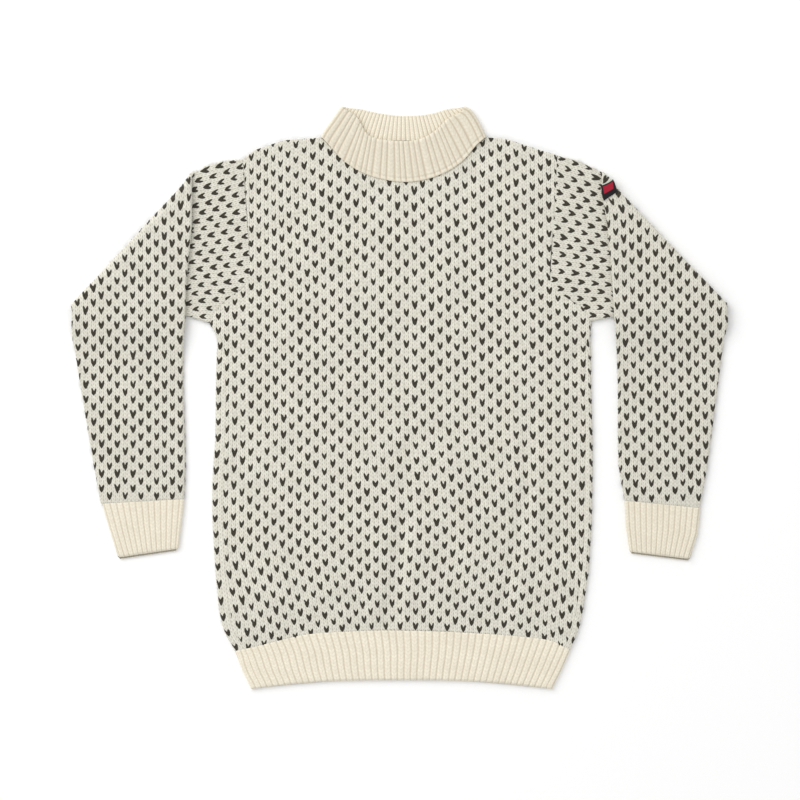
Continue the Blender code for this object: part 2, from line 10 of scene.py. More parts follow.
import bpy
import numpy as np
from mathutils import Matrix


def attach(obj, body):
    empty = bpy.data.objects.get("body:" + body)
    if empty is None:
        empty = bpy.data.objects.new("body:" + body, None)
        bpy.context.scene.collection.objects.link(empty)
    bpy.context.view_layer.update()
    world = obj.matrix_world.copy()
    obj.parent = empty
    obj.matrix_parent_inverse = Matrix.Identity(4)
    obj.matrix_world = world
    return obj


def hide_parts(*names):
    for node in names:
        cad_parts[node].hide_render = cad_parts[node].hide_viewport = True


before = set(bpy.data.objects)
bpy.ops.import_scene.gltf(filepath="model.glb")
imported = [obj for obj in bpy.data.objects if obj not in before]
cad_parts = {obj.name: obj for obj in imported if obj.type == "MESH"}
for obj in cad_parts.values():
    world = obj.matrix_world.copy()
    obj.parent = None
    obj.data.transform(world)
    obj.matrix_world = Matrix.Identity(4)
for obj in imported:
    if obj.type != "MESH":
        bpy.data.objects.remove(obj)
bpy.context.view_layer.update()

MM = 0.001
CENTRE = (0.25, 1.0)

# Cloth and layers, as the solids have them: the wall, the height of two layers, the radius of a turned
# edge, and the lowest height of the upper layer
WALL = 3.0
STACK = 6.8
EDGE_RADIUS = STACK / 2
UPPER = 3.8

# Seams: how far two pieces overlap, so that no floor shows between them, how far the front laps over the
# rolled sides, and the depth and width of the furrow along a seam
SEAM_LAP = 0.3
SIDE_LAP = 0.4
SEAM_DIP = 0.3
SEAM_REACH = 1.6

# The front's form: how high it puffs up and how far from its edges, how far in the creases start, the
# lowest that they go, and how a distance below the sloping top edge becomes one away from it
PUFF = 2.0
PUFF_REACH = 70.0
CREASE_START = 12.0
LOWEST_CREASE = -1.5
TOP_SLOPE = 0.8

# Heights: where the shoulders start, where the back's rolled sides open out up to the underarm, where
# the front's edge goes out to the outline, and the hem's edge and its rib's top at the sides
SHOULDER_START = 250.0
UNDERARM_START = 84.0
UNDERARM_HEIGHT = 101.0
SEAM_END_START = 77.0
SEAM_END = 90.0
HEM_HEIGHT = -392
RIB_LINE_HEIGHT = -341

# How far the front sinks onto the back at the underarm, and its reach upwards and inwards
UNDERARM_SINK = 2.6
UNDERARM_SINK_UP = 6.0
UNDERARM_SINK_IN = 4.0

# How far the back's top edge rises to meet the front's, and over what height
BACK_RISE = 2.0
BACK_RISE_REACH = 4.0

# Stitches: the grid lines in one stitch each way, how many rows a leg climbs from the stitch's middle to
# its side, how far the yarn stands up, and the share of that left between rows, legs and columns
STITCH_COLUMNS = 4
STITCH_ROWS = 2
STITCH_CLIMB = 0.9
YARN_RISE = 1.0
BETWEEN_ROWS = 0.22
BETWEEN_LEGS = 0.3
BETWEEN_COLUMNS = 0.12

# The body's stitches: the x of the middle column, the stitch width on either side of it, the columns each
# way, the rows, the place of the first row, and the length of a row in the back's flat layout
MIDDLE_COLUMN = -2.1
RIGHT_STITCH = 5.50
LEFT_STITCH = 5.68
BODY_STITCHES = 52
BODY_ROWS = 140
BODY_START = -0.35
ROW_LENGTH = 5.2

# The body's rows: row above the rib, its height in the middle, its drop at the wearer's right and left
ROW_LEVELS = (
    (-10, -362.8, -5.6, -6.3),
    (0, -311.3, 0.0, 0.0),
    (16, -230.6, 9.0, 9.0),
    (32, -149.6, 17.5, 16.5),
    (48, -67.5, 11.5, 11.0),
    (64, 15.2, 8.0, 11.0),
    (84, 121.6, 14.5, 20.0),
    (96, 188.2, 29.0, 36.0),
    (108, 254.8, 38.5, 45.0),
    (140, 433.6, 67.0, 77.0),
)
# How far from the middle those drops are, how wide the rows' level middle is, how many rows follow the
# rib's curve, and how far the tables' corners are eased
DROP_SPAN = 225.0
LEVEL_MIDDLE = 20.0
RIB_FOLLOW_ROWS = 34
ROW_BLUR = 5.0
COLUMN_BLUR = 3.0

# How far the columns lean over: stitch, shift at the rib, shift two thirds of the way down, at the shoulder
COLUMN_LEAN = (
    (-43, 19.0, -1.5, 5.0),
    (-24, 16.0, -2.5, -6.5),
    (-12, 14.0, 1.5, -2.0),
    (0, 3.0, 6.0, -0.5),
    (12, -2.0, 7.0, -1.5),
    (24, -5.0, 6.0, 1.0),
    (45, -9.0, -3.0, -3.0),
)
# The heights where each lean acts: below the first, round the second and above the third
LEAN_START = -190.0
LEAN_MIDDLE = -172.0
LEAN_REACH = 150.0
LEAN_TOP = 90.0
LEAN_TOP_REACH = 240.0

# Side outline of the body: height, wearer's right edge, wearer's left edge
BODY_SIDES = (
    (-392, -200, 206), (-366, -213, 219), (-341, -222, 230), (-313, -238, 242), (-286, -244, 248),
    (-232, -249, 256), (-164, -253, 260), (-110, -253, 261), (-56, -249, 261), (25, -248, 259),
    (62, -247, 259), (76, -246, 258), (87, -248, 258), (95, -252, 258), (101, -257, 258),
)
# The dark column that shows where the back turns over at each side: its middle in stitches, and how far
# past the outline it lies along the cloth
ROLL_COLUMNS = {"right": (-45.5, 7.6), "left": (48.5, 4.6)}
# The stitch width beside it, how many stitches before it the columns start to follow the outline and in
# how many they do, and the height at which they leave it and over how far
ROLL_STITCH = 6.6
ROLL_REACH = 8.0
ROLL_BLEND = 5.0
ROLL_COLUMNS_END = 58.0
ROLL_COLUMNS_FADE = 28.0
# How far the side seam lies inside the outline: height, at the wearer's right, at the wearer's left
SIDE_SEAMS = (
    (-392, 12, 6), (0, 11, 6), (62, 8, 4), (87, 1.2, 1.2),
)
# The least that the back's rolled edge shows
LEAST_LIP = 1.2
# The armholes, from the underarm up: x, y
ARMHOLES = {
    "right": (
        (-257, 101), (-250, 115), (-239, 128), (-226, 139), (-212, 149), (-203, 163), (-202, 190),
        (-204, 225), (-207, 270), (-211, 323),
    ),
    "left": (
        (258, 103), (251, 119), (238, 129), (222, 138), (208, 150), (203, 166), (204, 192), (207, 229),
        (210, 274), (213, 328),
    ),
}
# The hem's lower edge, and the line above its rib: x, y
HEM_EDGE = (
    (-200, -392), (-167, -388), (-124, -384), (-80, -381), (1, -380), (80, -381), (140, -385),
    (206, -392),
)
RIB_LINE = (
    (-222, -341), (-183, -333), (-149, -325), (-114, -318), (-55, -314), (1, -313), (87, -316),
    (190, -325), (230, -341),
)
# The shoulders and the necklines: x, y
SHOULDER_RIGHT = ((-211, 323), (-195, 335), (-157, 348), (-106, 352))
SHOULDER_LEFT = ((117, 352), (145, 350), (180, 338), (213, 328))
FRONT_NECK = (
    (-106, 352), (-97, 343), (-78, 323), (-60, 310), (-41, 301), (-14, 294), (11, 292), (38, 296),
    (64, 306), (86, 321), (103, 340), (117, 352),
)
BACK_NECK = ((-106, 352), (-60, 349), (0, 348), (60, 349), (117, 352))

# The collar's top edges, and the folds at its two ends from the neckline up: x, y
FRONT_COLLAR_TOP = (
    (-72, 394), (-62, 385), (-53, 369), (-46, 357), (-36, 350), (-17, 346), (3, 345), (21, 346),
    (36, 351), (50, 360), (62, 372), (80, 394),
)
BACK_COLLAR_TOP = ((-74, 394), (-37, 385), (1, 380), (40, 382), (72, 391), (84, 394))
COLLAR_FOLD_RIGHT = ((-106, 353), (-101, 362), (-91, 376), (-82, 389), (-78, 394))
COLLAR_FOLD_LEFT = ((117, 353), (113, 362), (106, 376), (97, 389), (89, 394))

# The collar's ribs outside and inside, the grid lines in a rib, its rows of stitches and its height, and
# the size of a rib and of a level in its flat layout
COLLAR_RIBS = 27
COLLAR_INNER_RIBS = 33
COLLAR_COLUMNS = 10
COLLAR_ROWS = 10
COLLAR_HEIGHT = 47.0
COLLAR_RIB_WIDTH = 8.0
COLLAR_LEVEL = 2.4
# How unevenly its outer ribs are spaced, as waves: share of a rib, turn for each rib, and start
COLLAR_UNEVEN = ((0.16, 0.9, 0.0), (0.10, 2.3, 1.0))
# The band below its linking seam and the grid levels in it, and the seam's half width and depth
LINKING_BAND = 4.0
LINKING_LEVELS = 8
LINKING_FURROW = 1.6
LINKING_DEPTH = 0.9
# Its double wall, the gap inside it, the radius at its folds, what its lower edge lies on and how low it
# reaches, and how near the folds its ends are drawn in and its middle sinks, as shares of its width
COLLAR_WALL = 4.8
COLLAR_GAP = 0.8
COLLAR_RADIUS = COLLAR_WALL + COLLAR_GAP / 2
COLLAR_REST = WALL + 0.4
COLLAR_FOOT = 4.6
COLLAR_END_REACH = 0.15
COLLAR_SINK_REACH = 0.2
# Its ribs: their height, how square and how notched they are, the share of the height on the sides that
# face in or down, and the share of the width that is plain at each inner corner, and its lap there
COLLAR_RISE = 1.9
COLLAR_SQUARENESS = 0.62
COLLAR_VALLEY = 0.7
COLLAR_FRONT_INNER = 0.7
COLLAR_BACK_OUTER = 0.6
COLLAR_BACK_INNER = 0.8
COLLAR_CORNER = 0.07
COLLAR_CORNER_LAP = 0.6
# Its rim: the share of the way over at each level outside and inside, how far it rises past the top edge
# as a share of the height, the levels down the inside, and the angles of the points round a fold
RIM_OUTSIDE = (0.12, 0.3, 0.5)
RIM_INSIDE = (0.5, 0.7, 0.88)
RIM_RISE = 0.045
INNER_LEVELS = 12
TURN_ANGLES = (30, 60, 90, 120, 150)

# Ribs: grid lines in one rib, how far it stands up, how square and how notched it is, the depth of its
# middle line, how far a stitch climbs in it, and the length of a row
RIB_COLUMNS = 8
RIB_RISE = 1.4
RIB_SQUARENESS = 0.4
RIB_VALLEY = 0.7
RIB_SPLIT = 0.15
RIB_CLIMB = 0.7
RIB_ROW = 5.0
# The hem's ribs and rows, a rib's width in the back's flat layout, how many more ribs the back has at
# each side, how far in from the edge each layer rounds off, and the gap between the layers at the edge
HEM_RIBS = 46
HEM_ROWS = 14
HEM_RIB_WIDTH = 8.5
HEM_MORE_RIBS = 5
HEM_ROUNDING = 3.4
HEM_CLOSING = 3.0
HEM_OPENING = 0.6
# The cuffs' ribs on one side, the ribs that they have to spare, their rows, how far the lower layer shows
# past the upper, how far from the end each layer closes, and the share of its height left there
CUFF_RIBS = 13
CUFF_MORE_RIBS = 2
CUFF_ROWS = 15
CUFF_SHOWS = 2.2
CUFF_SHOWS_REACH = 3.0
CUFF_SHOWS_CURVE = 4
CUFF_CLOSING = 3.0
CUFF_CLOSING_BELOW = 7.0
CUFF_END = 0.25
CUFF_END_BELOW = 0.08

# Sleeves, by lines across them: the overarm fold's x, y and the underarm fold's x, y.
# The under rows lie from the armhole to the forward fold, and the over rows from there to the cuff.
SLEEVES = {
    "right": {
        "fold": ((-276, 307), (-441, 130)),
        "wale": (-0.998, -0.070),
        "phase": (0.75, 0.15, 0.0, 4.7),
        "under": ((-240, 321, -303, 115), (-262, 314, -371, 121)),
        "crease": ((-265, 309), (-436, 125)),
        "over": (
            (-279, 283, -442, 116),
            (-279, 238, -443, 110),
            (-283, 194, -443, 103),
            (-287, 150, -443, 92),
            (-288, 111, -442, 79),
            (-291, 70, -438, 58),
            (-291, 15, -431, 14),
            (-289, -43, -423, -34),
            (-288, -92, -414, -88),
            (-290, -136, -404, -142),
        ),
        "cuff": ((-290, -136, -401, -142), (-294, -170, -391, -177), (-298, -203, -379, -215)),
    },
    "left": {
        "fold": ((280, 298), (438, 133)),
        "wale": (0.998, -0.061),
        "phase": (-0.5, -2.05, -0.3, 1.0),
        "under": ((242, 321, 303, 112), (264, 310, 371, 120)),
        "crease": ((265, 307), (436, 126)),
        "over": (
            (269, 283, 442, 117),
            (275, 262, 443, 112),
            (281, 222, 444, 105),
            (286, 160, 442, 93),
            (289, 110, 438, 79),
            (292, 70, 436, 58),
            (294, 15, 430, 14),
            (294, -43, 424, -34),
            (295, -92, 417, -88),
            (303, -138, 406, -148),
        ),
        "cuff": ((303, -138, 406, -148), (305, -172, 402, -183), (310, -207, 391, -217)),
    },
}
# The forward fold: its height, the radius and length of its bend, how far the turned part takes to sink
# past the part below it and where it starts, and how far the fold's tip is pushed out
CREASE_HEIGHT = STACK + 0.35
BEND_RADIUS = 3.6
BEND_LENGTH = math.pi * BEND_RADIUS
DROP_REACH = 62.0
DROP_START = 4.0
TIP_BULGE = 4.5
TIP_REACH = 30.0

# The sleeves' stitches: their width, the columns each way, the rows, the length of a row near the armhole
# and further on, the reach of the first and of the change at the fold, how far the columns fan upwards
# towards the armhole, and how far from a folded edge the yarn stands up in full
SLEEVE_STITCH = 5.3
SLEEVE_STITCHES = 44
SLEEVE_ROWS = 106
ARMHOLE_ROW = 4.55
SLEEVE_ROW = 5.0
ARMHOLE_REACH = 80.0
FOLD_REACH = 40.0
FAN_RISE = 22.0
FAN_SPAN = 190.0
FAN_CURVE = 1.3
EDGE_EASE = 3.0

# The woven label on the wearer's left sleeve, by its corners as it lies: x, y
LABEL_OUTER_EDGE = ((281, 294), (292, 278))
LABEL_INNER_EDGE = ((268.5, 288), (275, 266))
# Its size, wall and gap, its grid lines each way, its border's height, distance from the rim and half
# width, how far in its rim rounds off, and how far the rim reaches down
LABEL_SIZE = (12.5, 20.0)
LABEL_WALL = 0.8
LABEL_GAP = 0.5
LABEL_GRID = (33, 49)
LABEL_BORDER = (0.35, 1.1, 1.0)
LABEL_ROUNDING = 0.5
LABEL_RIM = 0.2

# Creases in the front: start (x, y), end (x, y), half width, depth; a ridge has a negative depth
CREASES = (
    (11, -76, 5, -164, 20, 1.6),
    (5, -164, -13, -306, 17, 3.4),
    (-26, -190, -38, -300, 16, -1.2),
    (22, -180, 10, -300, 15, -1.4),
    (-92, -157, -51, -279, 16, 2.4),
    (-118, -170, -92, -262, 18, -0.9),
    (176, -26, 170, -130, 18, 1.8),
    (170, -130, 138, -288, 17, 2.4),
    (188, -150, 164, -270, 16, -1.0),
    (7, 173, 7, 18, 22, 1.3),
    (40, 120, 36, 10, 24, -0.7),
    (-160, 40, -128, -5, 14, 1.8),
    (110, 82, 134, 44, 14, 1.9),
    (-144, -300, -146, -306, 14, 1.0),
    (111, -296, 113, -308, 14, 1.2),
    (238, 60, 232, 30, 14, 1.2),
    (118, 330, 98, 296, 18, 1.3),
    (-108, 318, -86, 296, 16, 0.9),
    (-196, 150, -150, 120, 22, 1.1),
    (196, 150, 150, 126, 22, 1.0),
    (-206, -60, -170, -96, 22, 0.9),
    (214, -196, 190, -236, 20, 1.0),
    (60, -40, 96, -84, 22, 0.8),
    (-70, 60, -84, 4, 26, 0.8),
)


def smoothstep(value):
    t = np.clip(value, 0.0, 1.0)
    return t * t * (3.0 - 2.0 * t)


def rounded(distance, radius):
    """0 at an edge, rising along a quarter circle to 1 at a radius from it."""
    return np.sqrt(1 - (1 - np.clip(distance / radius, 0, 1)) ** 2)


def smooth_path(points, count):
    """Evenly spaced points along a smooth curve through the rows of a table."""
    rows = np.array(points, float)
    ends = np.vstack([2 * rows[0] - rows[1], rows, 2 * rows[-1] - rows[-2]])
    t = np.arange(0, 1, 0.05)[:, None]
    pieces = []
    for a, b, c, d in zip(ends, ends[1:], ends[2:], ends[3:]):
        squared = 2 * a - 5 * b + 4 * c - d
        cubed = 3 * b - a - 3 * c + d
        pieces.append(b + 0.5 * ((c - a) * t + squared * t**2 + cubed * t**3))
    return evenly_spaced(np.vstack([*pieces, rows[-1:]]), 0.0, count)


def evenly_spaced(path, short, count):
    """Points along a path, all as far apart, that start and stop short of its ends by a distance."""
    along = distances(path)
    places = np.linspace(short, along[-1] - short, count)
    return np.stack([np.interp(places, along, path[:, k]) for k in range(2)], axis=1)


def distances(path):
    steps = np.linalg.norm(np.diff(path, axis=0), axis=1)
    return np.concatenate([[0], np.cumsum(steps)])


def table_at(table, value, column, blur=0.0):
    """A column of a table at values of its first column, with the corners eased over a blur."""
    rows = np.array(table, float)
    shifts = blur * np.array([-1.0, -0.5, 0.0, 0.5, 1.0])
    found = [np.interp(np.asarray(value) + shift, rows[:, 0], rows[:, column]) for shift in shifts]
    return np.mean(found, axis=0)


RIB_CURVE = smooth_path(RIB_LINE, 200)
HEM_CURVE = smooth_path(HEM_EDGE, 100)
FRONT_TOP = np.vstack([SHOULDER_RIGHT[:-1], smooth_path(FRONT_NECK, 60), SHOULDER_LEFT[1:]])
BACK_TOP = np.vstack([SHOULDER_RIGHT[:-1], smooth_path(BACK_NECK, 20), SHOULDER_LEFT[1:]])


def rib_height(x):
    return np.interp(x, RIB_CURVE[:, 0], RIB_CURVE[:, 1])


def side_x(y, side, blur=6.0):
    """The outline's x at a height."""
    return table_at(BODY_SIDES, y, 1 if side == "right" else 2, blur)


def seam_inset(y, side):
    return table_at(SIDE_SEAMS, y, 1 if side == "right" else 2)


def armhole_x(y, side):
    rows = smooth_path(ARMHOLES[side], 60)
    return np.interp(y, rows[:, 1], rows[:, 0])


def lattice(first, last, low, high):
    """Grid lines of stitches: each point's column place, its row and its yarn's height."""
    across = np.arange(first * STITCH_COLUMNS, last * STITCH_COLUMNS + 1) / STITCH_COLUMNS
    up = np.arange(low * STITCH_ROWS, high * STITCH_ROWS + 1) / STITCH_ROWS
    u, line = np.meshgrid(across, up)
    away = np.abs(2 * (u - np.floor(u)) - 1)
    leg = np.where(away > 0.9, BETWEEN_COLUMNS, np.where(away < 0.1, BETWEEN_LEGS, 1.0))
    crest = BETWEEN_ROWS + (1 - BETWEEN_ROWS) * np.sin(math.pi * (line - np.floor(line)))
    return u, line + STITCH_CLIMB * away, leg * crest * YARN_RISE


def sheet_object(name, points, stitches, layout, look, flip=False, inside=None):
    """A mesh from a grid of points in millimetres, with its stitch places as the material's coordinates.

    Points that lie together become one. Faces that this leaves without an area are left out, and so are
    those with no corner inside the piece's edges.
    """
    rows, columns = points.shape[:2]
    places = points.reshape(-1, 3) - (*CENTRE, 0.0)
    keys = np.round(places * 200).astype(np.int64)
    _, first, merged = np.unique(keys, axis=0, return_index=True, return_inverse=True)
    merged = merged.reshape(-1)
    grid = np.arange(rows * columns).reshape(rows, columns)
    quads = np.stack([grid[:-1, :-1], grid[:-1, 1:], grid[1:, 1:], grid[1:, :-1]], axis=-1).reshape(-1, 4)
    if flip:
        quads = quads[:, ::-1]
    ids = merged[quads]
    kept = ids != np.roll(ids, -1, axis=1)
    corners = kept.sum(axis=1)
    diagonals = places[quads[:, 2]] - places[quads[:, 0]], places[quads[:, 3]] - places[quads[:, 1]]
    area = np.linalg.norm(np.cross(*diagonals), axis=1)
    good = (corners >= 3) & (area > 0.01)
    good &= (ids[:, 0] != ids[:, 2]) & (ids[:, 1] != ids[:, 3])
    if inside is not None:
        good &= inside.reshape(-1)[quads].any(axis=1)
    quads, ids, kept, corners = quads[good], ids[good], kept[good], corners[good]
    loops = quads[kept]
    mesh = bpy.data.meshes.new(name)
    mesh.vertices.add(len(first))
    mesh.vertices.foreach_set("co", (places[first] * MM).ravel())
    mesh.loops.add(len(loops))
    mesh.loops.foreach_set("vertex_index", merged[loops])
    mesh.polygons.add(len(quads))
    mesh.polygons.foreach_set("loop_start", np.concatenate([[0], np.cumsum(corners)[:-1]]))
    mesh.update(calc_edges=True)
    for map_name, values in (("Knit", stitches), ("OFBake", bake_places(layout))):
        made = mesh.uv_layers.new(name=map_name)
        made.data.foreach_set("uv", values.reshape(-1, 2)[loops].astype(np.float32).ravel())
    mesh.validate()
    mesh.materials.append(look)
    mesh.shade_smooth()
    piece = bpy.data.objects.new(name, mesh)
    bpy.context.scene.collection.objects.link(piece)
    return piece


def declare(piece, node):
    """Hangs a piece under the root body and hides the solid that it takes the place of."""
    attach(piece, "root")
    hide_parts(node)


def bake_places(layout):
    """A flat layout of a piece, in its own millimetres, scaled into the unit square."""
    low = layout.reshape(-1, 2).min(axis=0)
    size = (layout.reshape(-1, 2).max(axis=0) - low).max()
    return 0.01 + 0.98 * (layout - low) / size


def body_plan(u, row):
    """Where a stitch place on the body lies in plan."""
    width = np.where(u < 0.5, RIGHT_STITCH, LEFT_STITCH)
    x = MIDDLE_COLUMN + (u - 0.5) * width
    near = np.sqrt(x**2 + LEVEL_MIDDLE**2) - LEVEL_MIDDLE
    middle_y, right_drop, left_drop = (table_at(ROW_LEVELS, row, k, ROW_BLUR) for k in (1, 2, 3))
    drop = np.where(x < 0, right_drop, left_drop) / DROP_SPAN
    follow = 1 - smoothstep(row / RIB_FOLLOW_ROWS)
    y = middle_y - drop * near + follow * (rib_height(x) - rib_height(0.0))
    low = smoothstep((LEAN_START - y) / (LEAN_START - RIB_LINE_HEIGHT))
    middle = smoothstep(1 - np.abs(y - LEAN_MIDDLE) / LEAN_REACH)
    high = smoothstep((y - LEAN_TOP) / LEAN_TOP_REACH)
    low_lean, middle_lean, high_lean = (table_at(COLUMN_LEAN, u, k, COLUMN_BLUR) for k in (1, 2, 3))
    x = x + low * low_lean
    x = x + (1 - low) * middle * middle_lean + high * high_lean
    return x, y


def crease_depth(x, y):
    """How much the creases lower the front at each point."""
    depth = np.zeros(x.shape)
    for x0, y0, x1, y1, half_width, most in CREASES:
        run = np.array([x1 - x0, y1 - y0])
        part = np.clip(((x - x0) * run[0] + (y - y0) * run[1]) / (run @ run), 0, 1)
        away = np.hypot(x - x0 - part * run[0], y - y0 - part * run[1])
        depth += most * (1 - smoothstep(away / half_width))
    return depth


def underarm_share(y):
    """0 along the side seam and 1 from the underarm up, where the two panels' edges meet."""
    return smoothstep((y - UNDERARM_START) / (UNDERARM_HEIGHT - UNDERARM_START))


def front_side_x(y, side):
    """The front's edge: the side seam, then the armhole."""
    inward = 1 if side == "right" else -1
    closed = smoothstep((y - SEAM_END_START) / (SEAM_END - SEAM_END_START))
    inset = (seam_inset(y, side) + EDGE_RADIUS - SIDE_LAP) * (1 - closed)
    seam = side_x(y, side) + inward * inset
    return np.where(y < UNDERARM_HEIGHT, seam, armhole_x(y, side) - inward * SEAM_LAP / 2)


def body_lattice():
    """The grid of stitches of a body panel, from its rib up."""
    u, row, yarn = lattice(-BODY_STITCHES, BODY_STITCHES, -1, BODY_ROWS)
    return u, np.maximum(row, BODY_START), yarn


def front():
    u, row, yarn = body_lattice()
    x, y = body_plan(u, row)
    within = np.clip(x, FRONT_TOP[0, 0] - SEAM_LAP / 2, FRONT_TOP[-1, 0] + SEAM_LAP / 2)
    x = np.where(y > SHOULDER_START, within, x)
    top = np.interp(x, FRONT_TOP[:, 0], FRONT_TOP[:, 1])
    y = np.minimum(y, top + SEAM_LAP / 2)
    low_x, high_x = front_side_x(y, "right"), front_side_x(y, "left")
    x = np.clip(x, low_x, high_x)
    to_top = (np.interp(x, FRONT_TOP[:, 0], FRONT_TOP[:, 1]) - y) * TOP_SLOPE
    to_bottom = y - rib_height(x)
    to_side = np.minimum(x - low_x, high_x - x)
    near = np.minimum(np.minimum(to_side, to_bottom), to_top)
    inside = near > 0
    yarn = yarn * inside
    puff = PUFF * smoothstep(near / PUFF_REACH)
    rise = np.maximum(puff - crease_depth(x, y) * smoothstep(near / CREASE_START), LOWEST_CREASE)
    base = STACK - YARN_RISE + rise + yarn - SEAM_DIP * (1 - smoothstep(near / SEAM_REACH))
    loose = underarm_share(y) * (1 - smoothstep((y - UNDERARM_HEIGHT) / UNDERARM_SINK_UP))
    base -= UNDERARM_SINK * loose * (1 - smoothstep(to_side / UNDERARM_SINK_IN)) ** 2
    z = np.maximum(base, UPPER)
    points = np.stack([x, y, z], axis=-1)
    stitches = np.stack([u, row], axis=-1)
    look = knit_look("front_wool", 0, 0)
    piece = sheet_object("front_knit", points, stitches, points[..., :2], look, inside=inside)
    declare(piece, "front")


def turn_at(y):
    """How far the back's side has rolled over by a height: half round up to the underarm, then flat."""
    return math.pi * (1 - underarm_share(y))


def rolled(x, y, rise):
    """A lower layer's points: flat on the floor, and rolled up round the garment's sides.

    x is measured along the cloth, and rise is how far the yarn stands out from its lowest. The last value
    says which points are short of the cloth's edge.
    """
    turn = turn_at(y)
    outline = np.where(x < 0, -side_edge(y, "right"), side_edge(y, "left"))
    inset = np.where(x < 0, seam_inset(y, "right"), seam_inset(y, "left"))
    flat = outline - EDGE_RADIUS * np.sin(np.minimum(turn, math.pi / 2))
    arc = np.clip((np.abs(x) - flat) / EDGE_RADIUS, 0.0, turn)
    past = np.abs(x) - flat - EDGE_RADIUS * turn
    widest = np.maximum(inset, LEAST_LIP) * (turn > 0)
    lip = np.clip(past, 0.0, widest)
    inside = past < widest
    radius = EDGE_RADIUS - YARN_RISE + rise * inside
    out = np.minimum(np.abs(x), flat) + radius * np.sin(arc) + lip * np.cos(arc)
    z = EDGE_RADIUS - radius * np.cos(arc) + lip * np.sin(arc)
    return np.where(x < 0, -out, out), z, inside


def side_edge(y, side):
    return np.where(y < UNDERARM_HEIGHT, side_x(y, side), armhole_x(y, side))


def mirrored(x, y):
    """The plan place of cloth rolled over the sides, from its place along the cloth."""
    low, high = side_x(y, "right"), side_x(y, "left")
    spare = (math.pi - 2) * EDGE_RADIUS
    return np.clip(x, 2 * low - x - spare, 2 * high - x + spare)


def along_outline(u, x, y):
    """The back's columns, drawn along the outline where they turn over at the sides."""
    free = 1 - smoothstep((y - ROLL_COLUMNS_END) / ROLL_COLUMNS_FADE)
    for side, outward in (("right", -1), ("left", 1)):
        middle, past = ROLL_COLUMNS[side]
        kept = smoothstep((outward * (u - middle) + ROLL_REACH) / ROLL_BLEND) * free
        turned = side_x(y, side) + outward * past + (u - middle) * ROLL_STITCH
        x = x + kept * (turned - x)
    return x


def back():
    u, row, yarn = body_lattice()
    x, y = body_plan(u, row)
    x = along_outline(u, x, y)
    top = np.interp(x, BACK_TOP[:, 0], BACK_TOP[:, 1]) + SEAM_LAP / 2
    y = np.minimum(y, top)
    near = np.minimum(y - rib_height(x), top - y)
    x, z, inside = rolled(x, y, yarn * smoothstep(near / SEAM_REACH))
    z = z + BACK_RISE * (1 - smoothstep((top - y) / BACK_RISE_REACH)) * (y > SHOULDER_START)
    points = np.stack([x, y, z], axis=-1)
    stitches = np.stack([u, row], axis=-1)
    layout = np.stack([u * RIGHT_STITCH, row * ROW_LENGTH], axis=-1)
    columns = (ROLL_COLUMNS["right"][0] - 1, ROLL_COLUMNS["left"][0] + 1)
    look = knit_look("back_wool", 2, 0, columns=columns)
    piece = sheet_object("back_knit", points, stitches, layout, look, flip=True, inside=inside & (near > 0))
    declare(piece, "back")


def rib_lattice(first, last, rows):
    """Grid lines of a 1x1 rib: each point's rib place, its row and its yarn's height."""
    across = np.arange(first * RIB_COLUMNS, last * RIB_COLUMNS + 1) / RIB_COLUMNS
    up = np.arange(-STITCH_ROWS, rows * STITCH_ROWS + 1) / STITCH_ROWS
    q, line = np.meshgrid(across, up)
    away = np.abs(2 * (q - np.floor(q)) - 1)
    ridge = np.sin(math.pi * (q - np.floor(q))) ** RIB_SQUARENESS
    row = line + RIB_CLIMB * away
    inside = (row > 0) & (row < rows)
    crest = RIB_VALLEY + (1 - RIB_VALLEY) * np.sin(math.pi * (line - np.floor(line))) * inside
    split = RIB_SPLIT * (away < 0.1)
    return q, np.clip(row, 0, rows), (ridge * crest - split) * RIB_RISE


def hem_front():
    q, row, rise = rib_lattice(0, HEM_RIBS, HEM_ROWS)
    share = row / HEM_ROWS
    part = q / HEM_RIBS

    def across(y):
        """The ribs' places at a height, from one side seam to the other."""
        right = side_x(y, "right", 0) + seam_inset(y, "right") + EDGE_RADIUS - SIDE_LAP
        left = side_x(y, "left", 0) - (seam_inset(y, "left") + EDGE_RADIUS - SIDE_LAP)
        return right + part * (left - right)

    low_x, high_x = across(HEM_HEIGHT), across(RIB_LINE_HEIGHT)
    low_y = np.interp(low_x, HEM_CURVE[:, 0], HEM_CURVE[:, 1])
    high_y = rib_height(high_x) + SEAM_LAP / 2
    y = low_y + share * (high_y - low_y)
    right_x, left_x = front_side_x(y, "right"), front_side_x(y, "left")
    x = right_x + part * (left_x - right_x)
    to_side = np.minimum(part, 1 - part) * (high_x.max() - high_x.min())
    base = STACK - YARN_RISE + rise - SEAM_DIP * (1 - smoothstep((high_y - y) / SEAM_REACH))
    base -= SEAM_DIP * (1 - smoothstep(to_side / SEAM_REACH))
    z = UPPER + (base - UPPER) * rounded(y - low_y, HEM_ROUNDING)
    points = np.stack([x, y, z], axis=-1)
    stitches = np.stack([q, row], axis=-1)
    piece = sheet_object("hem_front_rib", points, stitches, points[..., :2], rib_look("hem_front_wool"))
    declare(piece, "hem_rib_front")


